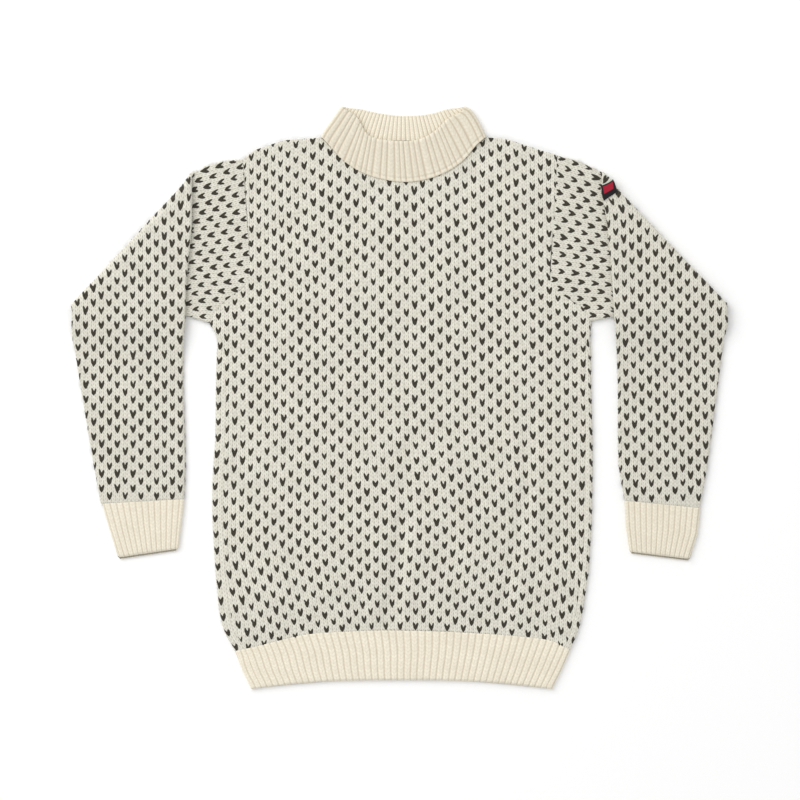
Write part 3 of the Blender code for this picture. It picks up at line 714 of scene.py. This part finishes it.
def hem_back():
    half = HEM_RIBS // 2 + HEM_MORE_RIBS
    q, row, rise = rib_lattice(-half, half, HEM_ROWS)
    share = row / HEM_ROWS
    low_width = side_x(HEM_HEIGHT, "left", 0) - side_x(HEM_HEIGHT, "right", 0)
    high_width = side_x(RIB_LINE_HEIGHT, "left", 0) - side_x(RIB_LINE_HEIGHT, "right", 0)
    low_x = q * low_width / HEM_RIBS
    high_x = q * high_width / HEM_RIBS
    low_y = np.interp(mirrored(low_x, HEM_HEIGHT), HEM_CURVE[:, 0], HEM_CURVE[:, 1])
    high_y = rib_height(mirrored(high_x, RIB_LINE_HEIGHT)) + SEAM_LAP / 2
    x = low_x + share * (high_x - low_x)
    y = low_y + share * (high_y - low_y)
    x, z, inside = rolled(x, y, rise * YARN_RISE / RIB_RISE)
    closed = 1 - rounded(y - low_y, HEM_CLOSING)
    z = z + (UPPER - HEM_OPENING * (z < UPPER) - z) * closed
    points = np.stack([x, y, z], axis=-1)
    stitches = np.stack([q, row], axis=-1)
    layout = np.stack([q * HEM_RIB_WIDTH, row * RIB_ROW], axis=-1)
    look = rib_look("hem_back_wool")
    piece = sheet_object("hem_back_rib", points, stitches, layout, look, flip=True, inside=inside)
    declare(piece, "hem_rib_back")


class Fold:
    """The line across a sleeve where it turns forward over itself."""

    def __init__(self, outline):
        near, far = (np.array(p, float) for p in outline)
        self.along = (far - near) / np.linalg.norm(far - near)
        inward = np.array([-self.along[1], self.along[0]])
        self.inward = inward if inward @ -near > 0 else -inward
        self.start = near + self.inward * CREASE_HEIGHT
        self.tip = near

    def unfolded(self, plan):
        """Where a point of the turned part would lie if the sleeve were opened out."""
        depth = (plan - self.start) @ self.inward
        return plan - (2 * depth + BEND_LENGTH)[..., None] * self.inward

    def folded(self, plan, height):
        """Points of the opened sleeve, turned over the fold where they lie past it."""
        past = (self.start - plan) @ self.inward
        line = plan + past[..., None] * self.inward
        radius = CREASE_HEIGHT - height
        angle = np.clip(past / BEND_RADIUS, 0, math.pi)
        out = radius * np.sin(angle) - np.maximum(past - BEND_LENGTH, 0)
        turned = line - out[..., None] * self.inward
        kept = past <= 0
        placed = np.where(kept[..., None], plan, turned)
        away = np.linalg.norm(placed - self.tip, axis=-1)
        push = TIP_BULGE * (1 - smoothstep(away / TIP_REACH))
        placed = placed - push[..., None] * (self.inward - self.along) * math.sqrt(0.5)
        z = np.where(kept, height, CREASE_HEIGHT - radius * np.cos(angle))
        return np.concatenate([placed, z[..., None]], axis=-1)


def tube_place(arc, low, high, radius):
    """A point round a flattened tube, by its arc from the low edge: its place across and its height."""
    quarter = EDGE_RADIUS * math.pi / 2
    away = np.abs(arc)
    flat = high - low - 2 * EDGE_RADIUS
    near_turn = np.clip(away / EDGE_RADIUS, 0, math.pi / 2)
    far_turn = np.clip((away - quarter - flat) / EDGE_RADIUS, 0, math.pi / 2)
    across = low + EDGE_RADIUS - radius * np.cos(near_turn) + np.clip(away - quarter, 0, flat)
    across = across + radius * np.sin(far_turn)
    height = radius * np.sin(near_turn) * np.cos(far_turn)
    return across, STACK / 2 + np.sign(arc) * height


def sleeve(side):
    table = SLEEVES[side]
    fold = Fold(table["fold"])
    armhole = smooth_path(ARMHOLES[side], 60)[::-1]
    corner = armhole[0]
    overarm = [corner, *(row[:2] for row in table["under"]), table["crease"][0]]
    underarm = [armhole[-1], *(row[2:] for row in table["under"]), table["crease"][1]]
    for row in table["over"]:
        overarm.append(fold.unfolded(np.array(row[:2], float)))
        underarm.append(fold.unfolded(np.array(row[2:], float)))
    overarm, underarm = np.array(overarm, float), np.array(underarm, float)
    wale = np.array(table["wale"]) / np.linalg.norm(table["wale"])
    across = np.array([-wale[1], wale[0]])
    across = across if across[1] < 0 else -across

    def places(points):
        return (points - corner) @ wale, (points - corner) @ across

    over_s, over_c = places(overarm)
    under_s, under_c = places(underarm)
    arm_s, arm_c = places(armhole)

    u, v, yarn = lattice(-SLEEVE_STITCHES, SLEEVE_STITCHES, -SLEEVE_ROWS, 1)
    upper_shift, lower_shift, row_shift, fold_ease = table["phase"]
    rows = np.maximum(-v - row_shift, 0.0)
    near_rows = ARMHOLE_REACH / ARMHOLE_ROW
    s = np.where(rows < near_rows, rows * ARMHOLE_ROW, ARMHOLE_REACH + (rows - near_rows) * SLEEVE_ROW)
    past_fold = smoothstep((s - ARMHOLE_REACH) / FOLD_REACH)
    s = s + fold_ease * past_fold
    fan = FAN_RISE * np.clip((ARMHOLE_REACH - s) / ARMHOLE_REACH, 0, 1) ** FAN_CURVE
    low = np.interp(s, over_s, over_c)
    high = np.interp(s, under_s, under_c)
    corner_cut = (math.pi / 2 - 1) * EDGE_RADIUS
    edge = (low - corner_cut + fan) / (1 + fan / FAN_SPAN)
    turn_edge = np.interp(ARMHOLE_REACH, over_s, over_c) - corner_cut
    edge = np.where(s < ARMHOLE_REACH, edge, 2 * turn_edge - low + corner_cut)
    width = (u + upper_shift + (lower_shift - upper_shift) * past_fold) * SLEEVE_STITCH
    fanned = width - fan * (1 - width / FAN_SPAN) - low + corner_cut
    arc = np.where((width > edge) & (s < ARMHOLE_REACH), fanned, width - edge)
    limit = high - low + 2 * corner_cut
    inside = np.abs(arc) < limit
    arc = np.clip(arc, -limit, limit)
    c = low + np.abs(arc) - corner_cut
    arm = np.interp(c, arm_c, arm_s)
    end_share = np.clip((c - over_c[-1]) / (under_c[-1] - over_c[-1]), 0, 1)
    end = over_s[-1] + end_share * (under_s[-1] - over_s[-1])
    to_seam = np.minimum(s - arm, end - s)
    inside = inside & (to_seam > 0)
    s = np.clip(s, arm - SEAM_LAP / 2, end)
    to_fold = np.minimum(limit - np.abs(arc), EDGE_EASE)
    radius = EDGE_RADIUS - YARN_RISE + yarn * smoothstep(to_fold / EDGE_EASE) * inside
    radius = radius - SEAM_DIP * (1 - smoothstep(to_seam / SEAM_REACH))
    low, high = np.interp(s, over_s, over_c), np.interp(s, under_s, under_c)
    c, z = tube_place(arc, low, high, radius)
    plan = corner + s[..., None] * wale + c[..., None] * across
    points = fold.folded(plan, z)
    past = (fold.start - plan) @ fold.inward
    points[..., 2] -= laid_drop(points, side, table) * (past > BEND_LENGTH)
    stitches = np.stack([u, v], axis=-1)
    layout = np.stack([arc, s], axis=-1)
    last_rows = near_rows + (end.max() - fold_ease - ARMHOLE_REACH) / SLEEVE_ROW
    look = knit_look(f"sleeve_{side}_wool", 2, 0, SLEEVE_BOLDNESS, 1.0 - row_shift - last_rows, SLEEVE_TONE)
    flip = side == "right"
    piece = sheet_object(f"sleeve_{side}_knit", points, stitches, layout, look, flip, inside)
    declare(piece, f"sleeve_{side}")


def laid_drop(points, side, table):
    """How far the turned part sinks past the edge of the part below it."""
    start, end = np.array(ARMHOLES[side][0], float), np.array(table["crease"][1], float)
    share = np.clip((points[..., 0] - start[0]) / (end[0] - start[0]), 0, 1)
    edge = start[1] + share * (end[1] - start[1])
    return 2 * (CREASE_HEIGHT - EDGE_RADIUS) * smoothstep((edge - DROP_START - points[..., 1]) / DROP_REACH)


def cuff(side):
    table = np.array(SLEEVES[side]["cuff"], float)
    half = CUFF_RIBS + CUFF_MORE_RIBS
    q, row, rise = rib_lattice(-half, half, CUFF_ROWS)
    share = 1 - row / CUFF_ROWS
    level = share * (len(table) - 1)
    places = [np.interp(level, range(len(table)), table[:, k]) for k in range(4)]
    over, under = np.stack(places[:2], axis=-1), np.stack(places[2:], axis=-1)
    width = np.linalg.norm(under - over, axis=-1)
    limit = width + (math.pi - 2) * EDGE_RADIUS
    arc = np.clip(q * width / CUFF_RIBS, -limit, limit)
    length = np.linalg.norm(table[0, :2] - table[-1, :2])
    to_end = (1 - share) * length
    to_seam = share * length
    radius = EDGE_RADIUS - YARN_RISE + rise - SEAM_DIP * (1 - smoothstep(to_seam / SEAM_REACH))
    below = arc < 0
    closing = np.where(below, CUFF_CLOSING_BELOW, CUFF_CLOSING)
    left = np.where(below, CUFF_END_BELOW, CUFF_END)
    radius = radius * (left + (1 - left) * rounded(to_end, closing))
    radius = np.where(below, np.minimum(radius, EDGE_RADIUS), radius)
    c, z = tube_place(arc, 0.0, width, radius)
    plan = over + (c / width)[..., None] * (under - over)
    plan[..., 1] += SEAM_LAP - CUFF_SHOWS * smoothstep(-arc / CUFF_SHOWS_REACH) * share**CUFF_SHOWS_CURVE
    points = np.concatenate([plan, z[..., None]], axis=-1)
    layout = np.stack([arc, row * RIB_ROW], axis=-1)
    stitches = np.stack([q, row], axis=-1)
    look = rib_look(f"cuff_{side}_wool", CUFF_TONE)
    piece = sheet_object(f"cuff_{side}_rib", points, stitches, layout, look, flip=side == "left")
    declare(piece, f"cuff_{side}")


def pulled_to(path, ends):
    """The path shifted at its two ends so that it stops one fold radius short of each end point."""
    path = path.copy()
    share = np.linspace(0, 1, len(path))
    for end, step, near in ((0, COLLAR_COLUMNS, share), (-1, -COLLAR_COLUMNS, 1 - share)):
        heading = path[end + step] - path[end]
        target = ends[end] + COLLAR_RADIUS * heading / np.linalg.norm(heading)
        path += (target - path[end]) * (1 - smoothstep(near / COLLAR_END_REACH))[:, None]
    return path


def ring_places(places, ribs):
    """Rib places all round the collar: the front's, a rib at a fold, the back's, a rib at the other fold."""
    turn = np.linspace(0, 1, len(TURN_ANGLES) + 2)[1:-1]
    back_places = ribs + 1 + ribs - places[::-1]
    return np.concatenate([places, ribs + turn, back_places, 2 * ribs + 1 + turn, 2 * ribs + 2 + places[:1]])


def collar():
    columns = COLLAR_RIBS * COLLAR_COLUMNS + 1
    q = np.linspace(0, COLLAR_RIBS, columns)
    uneven = sum(share * np.sin(turn * q + start) for share, turn, start in COLLAR_UNEVEN)
    ridge = np.abs(np.sin(math.pi * (q + uneven))) ** COLLAR_SQUARENESS
    inner_q = q * COLLAR_INNER_RIBS / COLLAR_RIBS
    inner_ridge = np.abs(np.sin(math.pi * inner_q)) ** COLLAR_SQUARENESS
    share = q / COLLAR_RIBS
    middle = np.minimum(share, 1 - share)
    corner = 1 - smoothstep(middle / COLLAR_CORNER)
    inner_ridge = inner_ridge + (1 - inner_ridge) * corner
    front_low = evenly_spaced(smooth_path(FRONT_NECK, 400), COLLAR_RADIUS, columns)
    back_low = evenly_spaced(smooth_path(BACK_NECK, 400), COLLAR_RADIUS, columns)
    front_high = smooth_path(FRONT_COLLAR_TOP, columns)
    back_high = smooth_path(BACK_COLLAR_TOP, columns)
    fold_right = smooth_path(COLLAR_FOLD_RIGHT, 101)
    fold_left = smooth_path(COLLAR_FOLD_LEFT, 101)
    inner_rows = COLLAR_ROWS * STITCH_ROWS
    band = [k / COLLAR_HEIGHT for k in range(LINKING_LEVELS)]
    # A level's step up the collar, its share of the way over the rim, and whether its ribs are the inner ones
    levels = [(step, 0.0, False) for step in (0.0, *band, *np.linspace(band[-1], 1, inner_rows - 2)[1:])]
    levels += [(1.0, part, False) for part in RIM_OUTSIDE]
    levels += [(1.0, part, True) for part in RIM_INSIDE]
    levels += [(1 - k / INNER_LEVELS, 1.0, True) for k in range(INNER_LEVELS + 1)]
    outer_places = ring_places(q + uneven, COLLAR_RIBS)
    inner_places = ring_places(inner_q, COLLAR_INNER_RIBS)
    around = ring_places(q, COLLAR_RIBS)
    grid, stitches, layout = [], [], []
    for number, (step, inside, turned) in enumerate(levels):
        at = int(round(step * 100))
        row = step * COLLAR_ROWS if inside < 1 else (2 - step) * COLLAR_ROWS
        ends = (fold_right[at], fold_left[at])
        over = RIM_RISE * math.sin(math.pi * inside)
        front_run = pulled_to(front_low + (step + over) * (front_high - front_low), ends)
        back_run = pulled_to(back_low + (step + over) * (back_high - back_low), ends)
        lift = COLLAR_WALL + COLLAR_GAP - COLLAR_REST
        sink = lift * (1 - step) * smoothstep(middle / COLLAR_SINK_REACH)
        wave = math.sin(math.pi * ((number - turned) / STITCH_ROWS % 1))
        crest = COLLAR_VALLEY + (1 - COLLAR_VALLEY) * wave
        above_seam = step * COLLAR_HEIGHT
        seam = 0.0
        rib = COLLAR_RISE * (ridge * crest - 1)
        inner_rib = COLLAR_RISE * (inner_ridge * crest - 1)
        if inside == 0:
            rib = rib * smoothstep(above_seam / LINKING_BAND)
            seam = LINKING_DEPTH * (1 - smoothstep(abs(above_seam - LINKING_BAND) / LINKING_FURROW))
            seam += SEAM_DIP * (1 - smoothstep(above_seam / SEAM_REACH))
        front_outer = 2 * COLLAR_WALL + COLLAR_GAP + rib - sink - seam
        front_inner = COLLAR_WALL + COLLAR_GAP - sink - inner_rib * COLLAR_FRONT_INNER
        front_inner = front_inner - COLLAR_CORNER_LAP * corner
        back_outer = -rib * COLLAR_BACK_OUTER
        back_inner = COLLAR_WALL + inner_rib * COLLAR_BACK_INNER
        round_in = 0.5 - 0.5 * math.cos(math.pi * inside)
        top = front_outer + round_in * (front_inner - front_outer)
        if number == 0:
            top = np.minimum(top, COLLAR_FOOT)
        bottom = back_outer + round_in * (back_inner - back_outer)
        radius = COLLAR_RADIUS + round_in * (COLLAR_GAP / 2 - COLLAR_RADIUS)
        turns = []
        for sign, end in ((1, -1), (-1, 0)):
            for angle in TURN_ANGLES:
                rise = sign * radius * math.cos(math.radians(angle))
                run = front_run if rise > 0 else back_run
                part = math.sin(math.radians(angle)) * radius / COLLAR_RADIUS
                turns.append((*(run[end] + part * (ends[end] - run[end])), COLLAR_RADIUS + rise))
        upper = np.concatenate([front_run, top[:, None]], axis=1)
        lower = np.concatenate([back_run, bottom[:, None]], axis=1)[::-1]
        half = len(TURN_ANGLES)
        grid.append(np.vstack([upper, turns[:half], lower, turns[half:], upper[:1]]))
        places = inner_places if turned else outer_places
        stitches.append(np.stack([places, np.full(len(places), row)], axis=1))
        flat_row = np.full(len(around), number * COLLAR_LEVEL)
        layout.append(np.stack([around * COLLAR_RIB_WIDTH, flat_row], axis=1))
    look = rib_look("collar_wool", COLLAR_TONE, COLLAR_CONTRAST, COLLAR_ROWS)
    piece = sheet_object("collar_rib", np.array(grid), np.array(stitches), np.array(layout), look)
    declare(piece, "collar")


def label():
    fold = Fold(SLEEVES["left"]["fold"])
    outer_edge, inner_edge = (np.array(edge, float) for edge in (LABEL_OUTER_EDGE, LABEL_INNER_EDGE))
    across, along = np.meshgrid(*(np.linspace(0, 1, count) for count in LABEL_GRID))
    a, b = across[..., None], along[..., None]
    near = outer_edge[0] + a * (inner_edge[0] - outer_edge[0])
    far = outer_edge[1] + a * (inner_edge[1] - outer_edge[1])
    width, length = LABEL_SIZE
    rim = np.minimum(np.minimum(across, 1 - across) * width, np.minimum(along, 1 - along) * length)
    thickness, place, half_width = LABEL_BORDER
    border = thickness * (1 - smoothstep(np.abs(rim - place) / half_width))
    height = (LABEL_GAP + LABEL_WALL + border) * smoothstep(rim / LABEL_ROUNDING) - LABEL_RIM * (rim <= 0)
    points = fold.folded(fold.unfolded(near + b * (far - near)), -height)
    stitches = np.stack([across, along], axis=-1)
    layout = np.stack([across * width, along * length], axis=-1)
    piece = sheet_object("sleeve_label_woven", points, stitches, layout, label_look(), flip=True)
    declare(piece, "sleeve_label")


class Graph:
    """Short calls for building a material's nodes."""

    def __init__(self, name):
        self.material = bpy.data.materials.new(name)
        self.material.use_nodes = True
        self.tree = self.material.node_tree
        self.shader = self.tree.nodes["Principled BSDF"]

    def node(self, kind, **settings):
        made = self.tree.nodes.new(kind)
        for key, value in settings.items():
            setattr(made, key, value)
        return made

    def join(self, value, socket):
        if isinstance(value, bpy.types.NodeSocket):
            self.tree.links.new(value, socket)
        else:
            socket.default_value = value

    def maths(self, operation, *values):
        made = self.node("ShaderNodeMath", operation=operation)
        for value, socket in zip(values, made.inputs):
            self.join(value, socket)
        return made.outputs[0]

    def times(self, one, other):
        return self.maths("MULTIPLY", one, other)

    def plus(self, one, other):
        return self.maths("ADD", one, other)

    def minus(self, one, other):
        return self.maths("SUBTRACT", one, other)

    def zigzag(self, value):
        """0 in the middle of each whole step of a value, and 1 at its two ends."""
        return self.maths("ABSOLUTE", self.maths("MULTIPLY_ADD", self.maths("FRACT", value), 2.0, -1.0))

    def split(self, vector):
        made = self.node("ShaderNodeSeparateXYZ")
        self.join(vector, made.inputs[0])
        return made.outputs["X"], made.outputs["Y"]

    def noise(self, place, scale, detail=2.0):
        made = self.node("ShaderNodeTexNoise")
        self.join(place, made.inputs["Vector"])
        made.inputs["Scale"].default_value = scale
        made.inputs["Detail"].default_value = detail
        return made.outputs["Fac"]

    def vector(self, x, y, z=0.0):
        made = self.node("ShaderNodeCombineXYZ")
        for value, socket in zip((x, y, z), made.inputs):
            self.join(value, socket)
        return made.outputs[0]

    def step(self, value, low, high):
        """0 below low and 1 above high, or the other way round."""
        made = self.node("ShaderNodeMapRange", interpolation_type="SMOOTHSTEP")
        self.join(value, made.inputs["Value"])
        made.inputs["From Min"].default_value = low
        made.inputs["From Max"].default_value = high
        return made.outputs["Result"]

    def mix(self, share, one, other):
        made = self.node("ShaderNodeMix", data_type="RGBA")
        colours = [socket for socket in made.inputs if socket.type == "RGBA"]
        self.join(share, made.inputs[0])
        for value, socket in zip((one, other), colours):
            self.join((*value, 1.0) if isinstance(value, tuple) else value, socket)
        return [socket for socket in made.outputs if socket.type == "RGBA"][0]

    def shaded(self, colour, shade, parts):
        """A colour darkened towards its shade by each mask in turn, as strongly as its share says."""
        for mask, share in parts:
            colour = self.mix(self.times(mask, share), colour, shade)
        return colour


# The dark Vs: how many stitches and rows a repeat has, a leg's place and half width in half stitches, how
# far it climbs in rows and up to which place, half its length in rows, the spread of their sizes, how much
# slighter every second one is, their soft edge, and how much bolder they are on the sleeves' stitches
V_REPEAT = 4.0
V_LEG = 0.48
V_WIDTH = 0.89
V_CLIMB = 0.78
V_TIP = 1.4
V_LENGTH = 0.84
V_SPREAD = 0.24
V_DROP_SHRINK = 0.03
V_EDGE = (1.15, 0.80)
SLEEVE_BOLDNESS = 1.07

# How the Vs wander from the grid: the scale of the noise, and its reach in stitches and in rows
WANDER_SCALE = 0.9
WANDER_ACROSS = 0.45
WANDER_UP = 0.8

# Colours as they look in the light of the scene
CREAM = (0.862, 0.84, 0.738)
# The darker cream that both the painted shade between stitches and the wool's grain mix towards
CREAM_SHADE_AND_GRAIN = (0.35, 0.33, 0.265)
RIB_CREAM = (0.94, 0.882, 0.735)
COLLAR_TONE = 0.88
# The darker rib cream that both the painted shade in the rib's hollows and the wool's grain mix towards
RIB_SHADE_AND_GRAIN = (0.58, 0.50, 0.375)
CHARCOAL = (0.022, 0.019, 0.013)
CHARCOAL_LIGHT = (0.085, 0.076, 0.056)
SLEEVE_TONE = 0.965
CUFF_TONE = 0.965

# How strongly painted shade darkens the knit between its legs, columns and rows, and how strongly
# tufts, patches and fibres darken it
KNIT_SHADES = (0.72, 0.2, 0.10, 0.18)
# How strongly painted shade darkens the rib in the furrows between its ribs on the body and on the collar,
# along its middle line and between its rows, and how strongly tufts, patches and fibres darken it
RIB_CONTRAST = 0.54
COLLAR_CONTRAST = 0.85
RIB_SHADES = (0.12, 0.24, 0.22, 0.12, 0.14)
# The grain of each: the scale of its patches, and how many fibres and tufts lie across a stitch or a rib
KNIT_GRAIN = (0.16, 9.0, 1.7)
RIB_GRAIN = (0.22, 14.0, 4.0)
FIBRES_ALONG = 2.6


def stitch_places(graph):
    """The map of stitch places, and a point's column and row place in it."""
    places = graph.node("ShaderNodeUVMap", uv_map="Knit").outputs["UV"]
    return places, *graph.split(places)


def wool_grain(graph, places, across, line, grain):
    """The fibres' noise, and masks of the wool's tufts, patches and fibres."""
    patch_scale, fibres_across, tufts_across = grain
    place = graph.vector(graph.times(across, fibres_across), graph.times(line, FIBRES_ALONG))
    fibres = graph.noise(place, 1.0, 3.0)
    tufts = graph.noise(graph.vector(graph.times(across, tufts_across), line), 1.0, 1.0)
    patches = graph.step(graph.noise(places, patch_scale, 3.0), 0.3, 0.7)
    return fibres, (graph.step(tufts, 0.35, 0.68), patches, graph.step(fibres, 0.45, 0.75))


def motif_mask(graph, u, v, first_column, first_row, boldness, last_row, columns):
    """1 on a dark V of the lice pattern: one stitch in four, and one row in four, half-dropped.

    Each V is a little bolder or slighter than the next, and none is centred below last_row or outside
    the two columns.
    """
    masks = []
    half = V_REPEAT / 2
    for drop in (0, 2):
        column = graph.plus(u, half - 0.5 - first_column - drop)
        across = graph.minus(graph.maths("FLOORED_MODULO", column, V_REPEAT), half)
        away = graph.times(graph.maths("ABSOLUTE", across), 2.0)
        level = graph.minus(v, graph.times(graph.maths("MINIMUM", away, V_TIP), V_CLIMB))
        row = graph.plus(level, half - 0.5 - first_row - drop)
        up = graph.minus(graph.maths("FLOORED_MODULO", row, V_REPEAT), half)
        cell = [graph.maths("FLOOR", graph.maths("DIVIDE", place, V_REPEAT)) for place in (column, row)]
        chance = graph.node("ShaderNodeTexWhiteNoise", noise_dimensions="3D")
        graph.join(graph.vector(*cell, drop + 0.5), chance.inputs["Vector"])
        least = boldness - V_SPREAD / 2 - drop * V_DROP_SHRINK
        size = graph.maths("MULTIPLY_ADD", chance.outputs["Value"], V_SPREAD, least)
        side = graph.maths("POWER", graph.maths("DIVIDE", graph.minus(away, V_LEG), V_WIDTH), 2.0)
        length = graph.maths("POWER", graph.maths("DIVIDE", up, V_LENGTH), 2.0)
        reach = graph.maths("DIVIDE", graph.plus(side, length), graph.times(size, size))
        middle = graph.minus(u, across)
        shown = graph.maths("GREATER_THAN", graph.minus(level, up), last_row)
        shown = graph.times(shown, graph.maths("GREATER_THAN", middle, columns[0]))
        shown = graph.times(shown, graph.maths("LESS_THAN", middle, columns[1]))
        masks.append(graph.times(graph.step(reach, *V_EDGE), shown))
    return graph.maths("MAXIMUM", *masks)


def knit_look(name, first_column, first_row, boldness=1.0, last_row=-2.0, tone=1.0, columns=(-60, 60)):
    """Cream wool in stocking stitch, with small dark charcoal Vs and painted shade between the stitches."""
    graph = Graph(name)
    places, u, v = stitch_places(graph)
    wander = graph.node("ShaderNodeTexNoise")
    graph.join(places, wander.inputs["Vector"])
    wander.inputs["Scale"].default_value = WANDER_SCALE
    wander.inputs["Detail"].default_value = 2.0
    sideways, upwards = graph.split(wander.outputs["Color"])
    motif_u = graph.plus(u, graph.maths("MULTIPLY_ADD", sideways, WANDER_ACROSS, -WANDER_ACROSS / 2))
    motif_v = graph.plus(v, graph.maths("MULTIPLY_ADD", upwards, WANDER_UP, -WANDER_UP / 2))
    mask = motif_mask(graph, motif_u, motif_v, first_column, first_row, boldness, last_row, columns)

    # Painted shade: depth is 1 between the stitches' legs and columns and at the rows' ends, where the knit's
    # hollows are
    away = graph.zigzag(u)
    line = graph.minus(v, graph.times(away, STITCH_CLIMB))
    side = graph.maths("POWER", graph.maths("MULTIPLY_ADD", away, 2.0, -1.0), 2.0)
    side = graph.times(side, graph.maths("MULTIPLY_ADD", away, 0.45, 0.6))
    length = graph.maths("POWER", graph.zigzag(line), 2.0)
    depth = graph.step(graph.maths("MULTIPLY_ADD", length, 0.8, side), 0.35, 1.45)

    fibres, grain = wool_grain(graph, places, u, line, KNIT_GRAIN)
    cream = tuple(part * tone for part in CREAM)
    cream = graph.shaded(cream, CREAM_SHADE_AND_GRAIN, zip((depth, *grain), KNIT_SHADES))
    dark = graph.mix(graph.step(fibres, 0.35, 0.7), CHARCOAL, CHARCOAL_LIGHT)
    graph.join(graph.mix(mask, cream, dark), graph.shader.inputs["Base Color"])
    finish_wool(graph, fibres)
    return graph.material


def rib_look(name, tone=1.0, contrast=RIB_CONTRAST, inner_row=None):
    """Warm cream wool in 1x1 rib, with painted shade in its hollows, and without the tone from inner_row up.
    """
    graph = Graph(name)
    places, q, v = stitch_places(graph)
    away = graph.zigzag(q)
    line = graph.minus(v, graph.times(away, RIB_CLIMB))
    # Painted shade in the rib's hollows: in the furrows between ribs, along each rib's middle line and
    # between rows
    painted_furrow_shade = graph.step(away, 0.55, 0.98)
    middle = graph.step(away, 0.3, 0.0)
    painted_row_shade = graph.step(graph.zigzag(line), 0.5, 1.0)
    fibres, grain = wool_grain(graph, places, q, line, RIB_GRAIN)
    cream = tuple(part * tone for part in RIB_CREAM)
    if inner_row is not None:
        cream = graph.mix(graph.step(v, inner_row - 0.5, inner_row + 0.5), cream, RIB_CREAM)
    parts = zip((painted_furrow_shade, middle, painted_row_shade, *grain), (contrast, *RIB_SHADES))
    graph.join(graph.shaded(cream, RIB_SHADE_AND_GRAIN, parts), graph.shader.inputs["Base Color"])
    finish_wool(graph, fibres)
    return graph.material


# The label's colours, the middle of its red panel along it, and its threads each way
LABEL_BLACK = (0.012, 0.010, 0.012)
LABEL_RED = (0.42, 0.012, 0.035)
LABEL_PALE = (0.55, 0.60, 0.50)
LABEL_PANEL_MIDDLE = 0.40
LABEL_THREADS = (90.0, 30.0)


def label_look():
    """A plain woven label: a black border, a crimson middle and a pale strip, with no lettering."""
    graph = Graph("label_weave")
    _, across, along = stitch_places(graph)
    from_middle = graph.maths("ABSOLUTE", graph.minus(across, 0.5))
    from_panel = graph.maths("ABSOLUTE", graph.minus(along, LABEL_PANEL_MIDDLE))
    inside = graph.maths("MINIMUM", graph.step(from_middle, 0.37, 0.33), graph.step(from_panel, 0.25, 0.22))
    strip = graph.maths("MINIMUM", graph.step(from_middle, 0.40, 0.36), graph.step(along, 0.09, 0.06))
    place = graph.vector(*(graph.times(way, count) for way, count in zip((across, along), LABEL_THREADS)))
    threads = graph.noise(place, 1.0)
    red = graph.mix(graph.step(threads, 0.45, 0.9), LABEL_RED, LABEL_BLACK)
    ground = graph.mix(inside, LABEL_BLACK, red)
    graph.join(graph.mix(strip, ground, LABEL_PALE), graph.shader.inputs["Base Color"])
    finish_wool(graph, threads)
    return graph.material


def finish_wool(graph, fibres):
    """What all the yarn shares: a dull surface with a soft nap and fine fibres."""
    graph.shader.inputs["Roughness"].default_value = 0.93
    graph.shader.inputs["Specular IOR Level"].default_value = 0.15
    graph.shader.inputs["Sheen Weight"].default_value = 0.12
    graph.shader.inputs["Sheen Roughness"].default_value = 0.6
    bump = graph.node("ShaderNodeBump")
    bump.inputs["Strength"].default_value = 0.5
    bump.inputs["Distance"].default_value = 0.0006
    graph.join(fibres, bump.inputs["Height"])
    graph.join(bump.outputs["Normal"], graph.shader.inputs["Normal"])


FLOOR_COLOUR = (0.985, 0.985, 0.985)


def floor_look():
    graph = Graph("floor_white")
    graph.shader.inputs["Base Color"].default_value = (*FLOOR_COLOUR, 1.0)
    graph.shader.inputs["Roughness"].default_value = 0.9
    return graph.material


# The view: straight down, at the photograph's framing
VIEW_CENTRE = (0.0004, -0.0030)
VIEW_WIDTH = 1.080
VIEW_HEIGHT = 6.0
SENSOR = 36.0
VIEW_REACH = 50.0
FLOOR_SIZE = 12.0

# The soft key light's power, size and place, and the strength of the white all round
KEY_POWER = 100.0
KEY_SIZE = 3.4
KEY_PLACE = (-2.6, 2.3, 3.0)
WORLD_STRENGTH = 0.80


def stage():
    scene = bpy.context.scene
    bpy.ops.mesh.primitive_plane_add(size=FLOOR_SIZE)
    ground = bpy.context.object
    ground.name = "floor"
    ground.data.materials.append(floor_look())

    camera_data = bpy.data.cameras.new("camera")
    camera_data.sensor_width = SENSOR
    camera_data.lens = SENSOR * VIEW_HEIGHT / VIEW_WIDTH
    camera_data.clip_end = VIEW_REACH
    camera = bpy.data.objects.new("camera", camera_data)
    camera.location = (*VIEW_CENTRE, VIEW_HEIGHT)
    scene.collection.objects.link(camera)
    scene.camera = camera

    key_data = bpy.data.lights.new("key", "AREA")
    key_data.energy = KEY_POWER
    key_data.size = KEY_SIZE
    key = bpy.data.objects.new("key", key_data)
    key.location = KEY_PLACE
    scene.collection.objects.link(key)
    aim(key)

    world = bpy.data.worlds.new("studio")
    world.use_nodes = True
    background = world.node_tree.nodes["Background"]
    background.inputs["Color"].default_value = (1.0, 1.0, 1.0, 1.0)
    background.inputs["Strength"].default_value = WORLD_STRENGTH
    scene.world = world
    scene.view_settings.view_transform = "Standard"


def aim(lamp):
    """Turns a lamp towards the middle of the garment."""
    lamp.rotation_euler = (-lamp.location).to_track_quat("-Z", "Y").to_euler()


def main():
    front()
    back()
    hem_front()
    hem_back()
    for side in ("right", "left"):
        sleeve(side)
        cuff(side)
    collar()
    label()
    stage()


main()
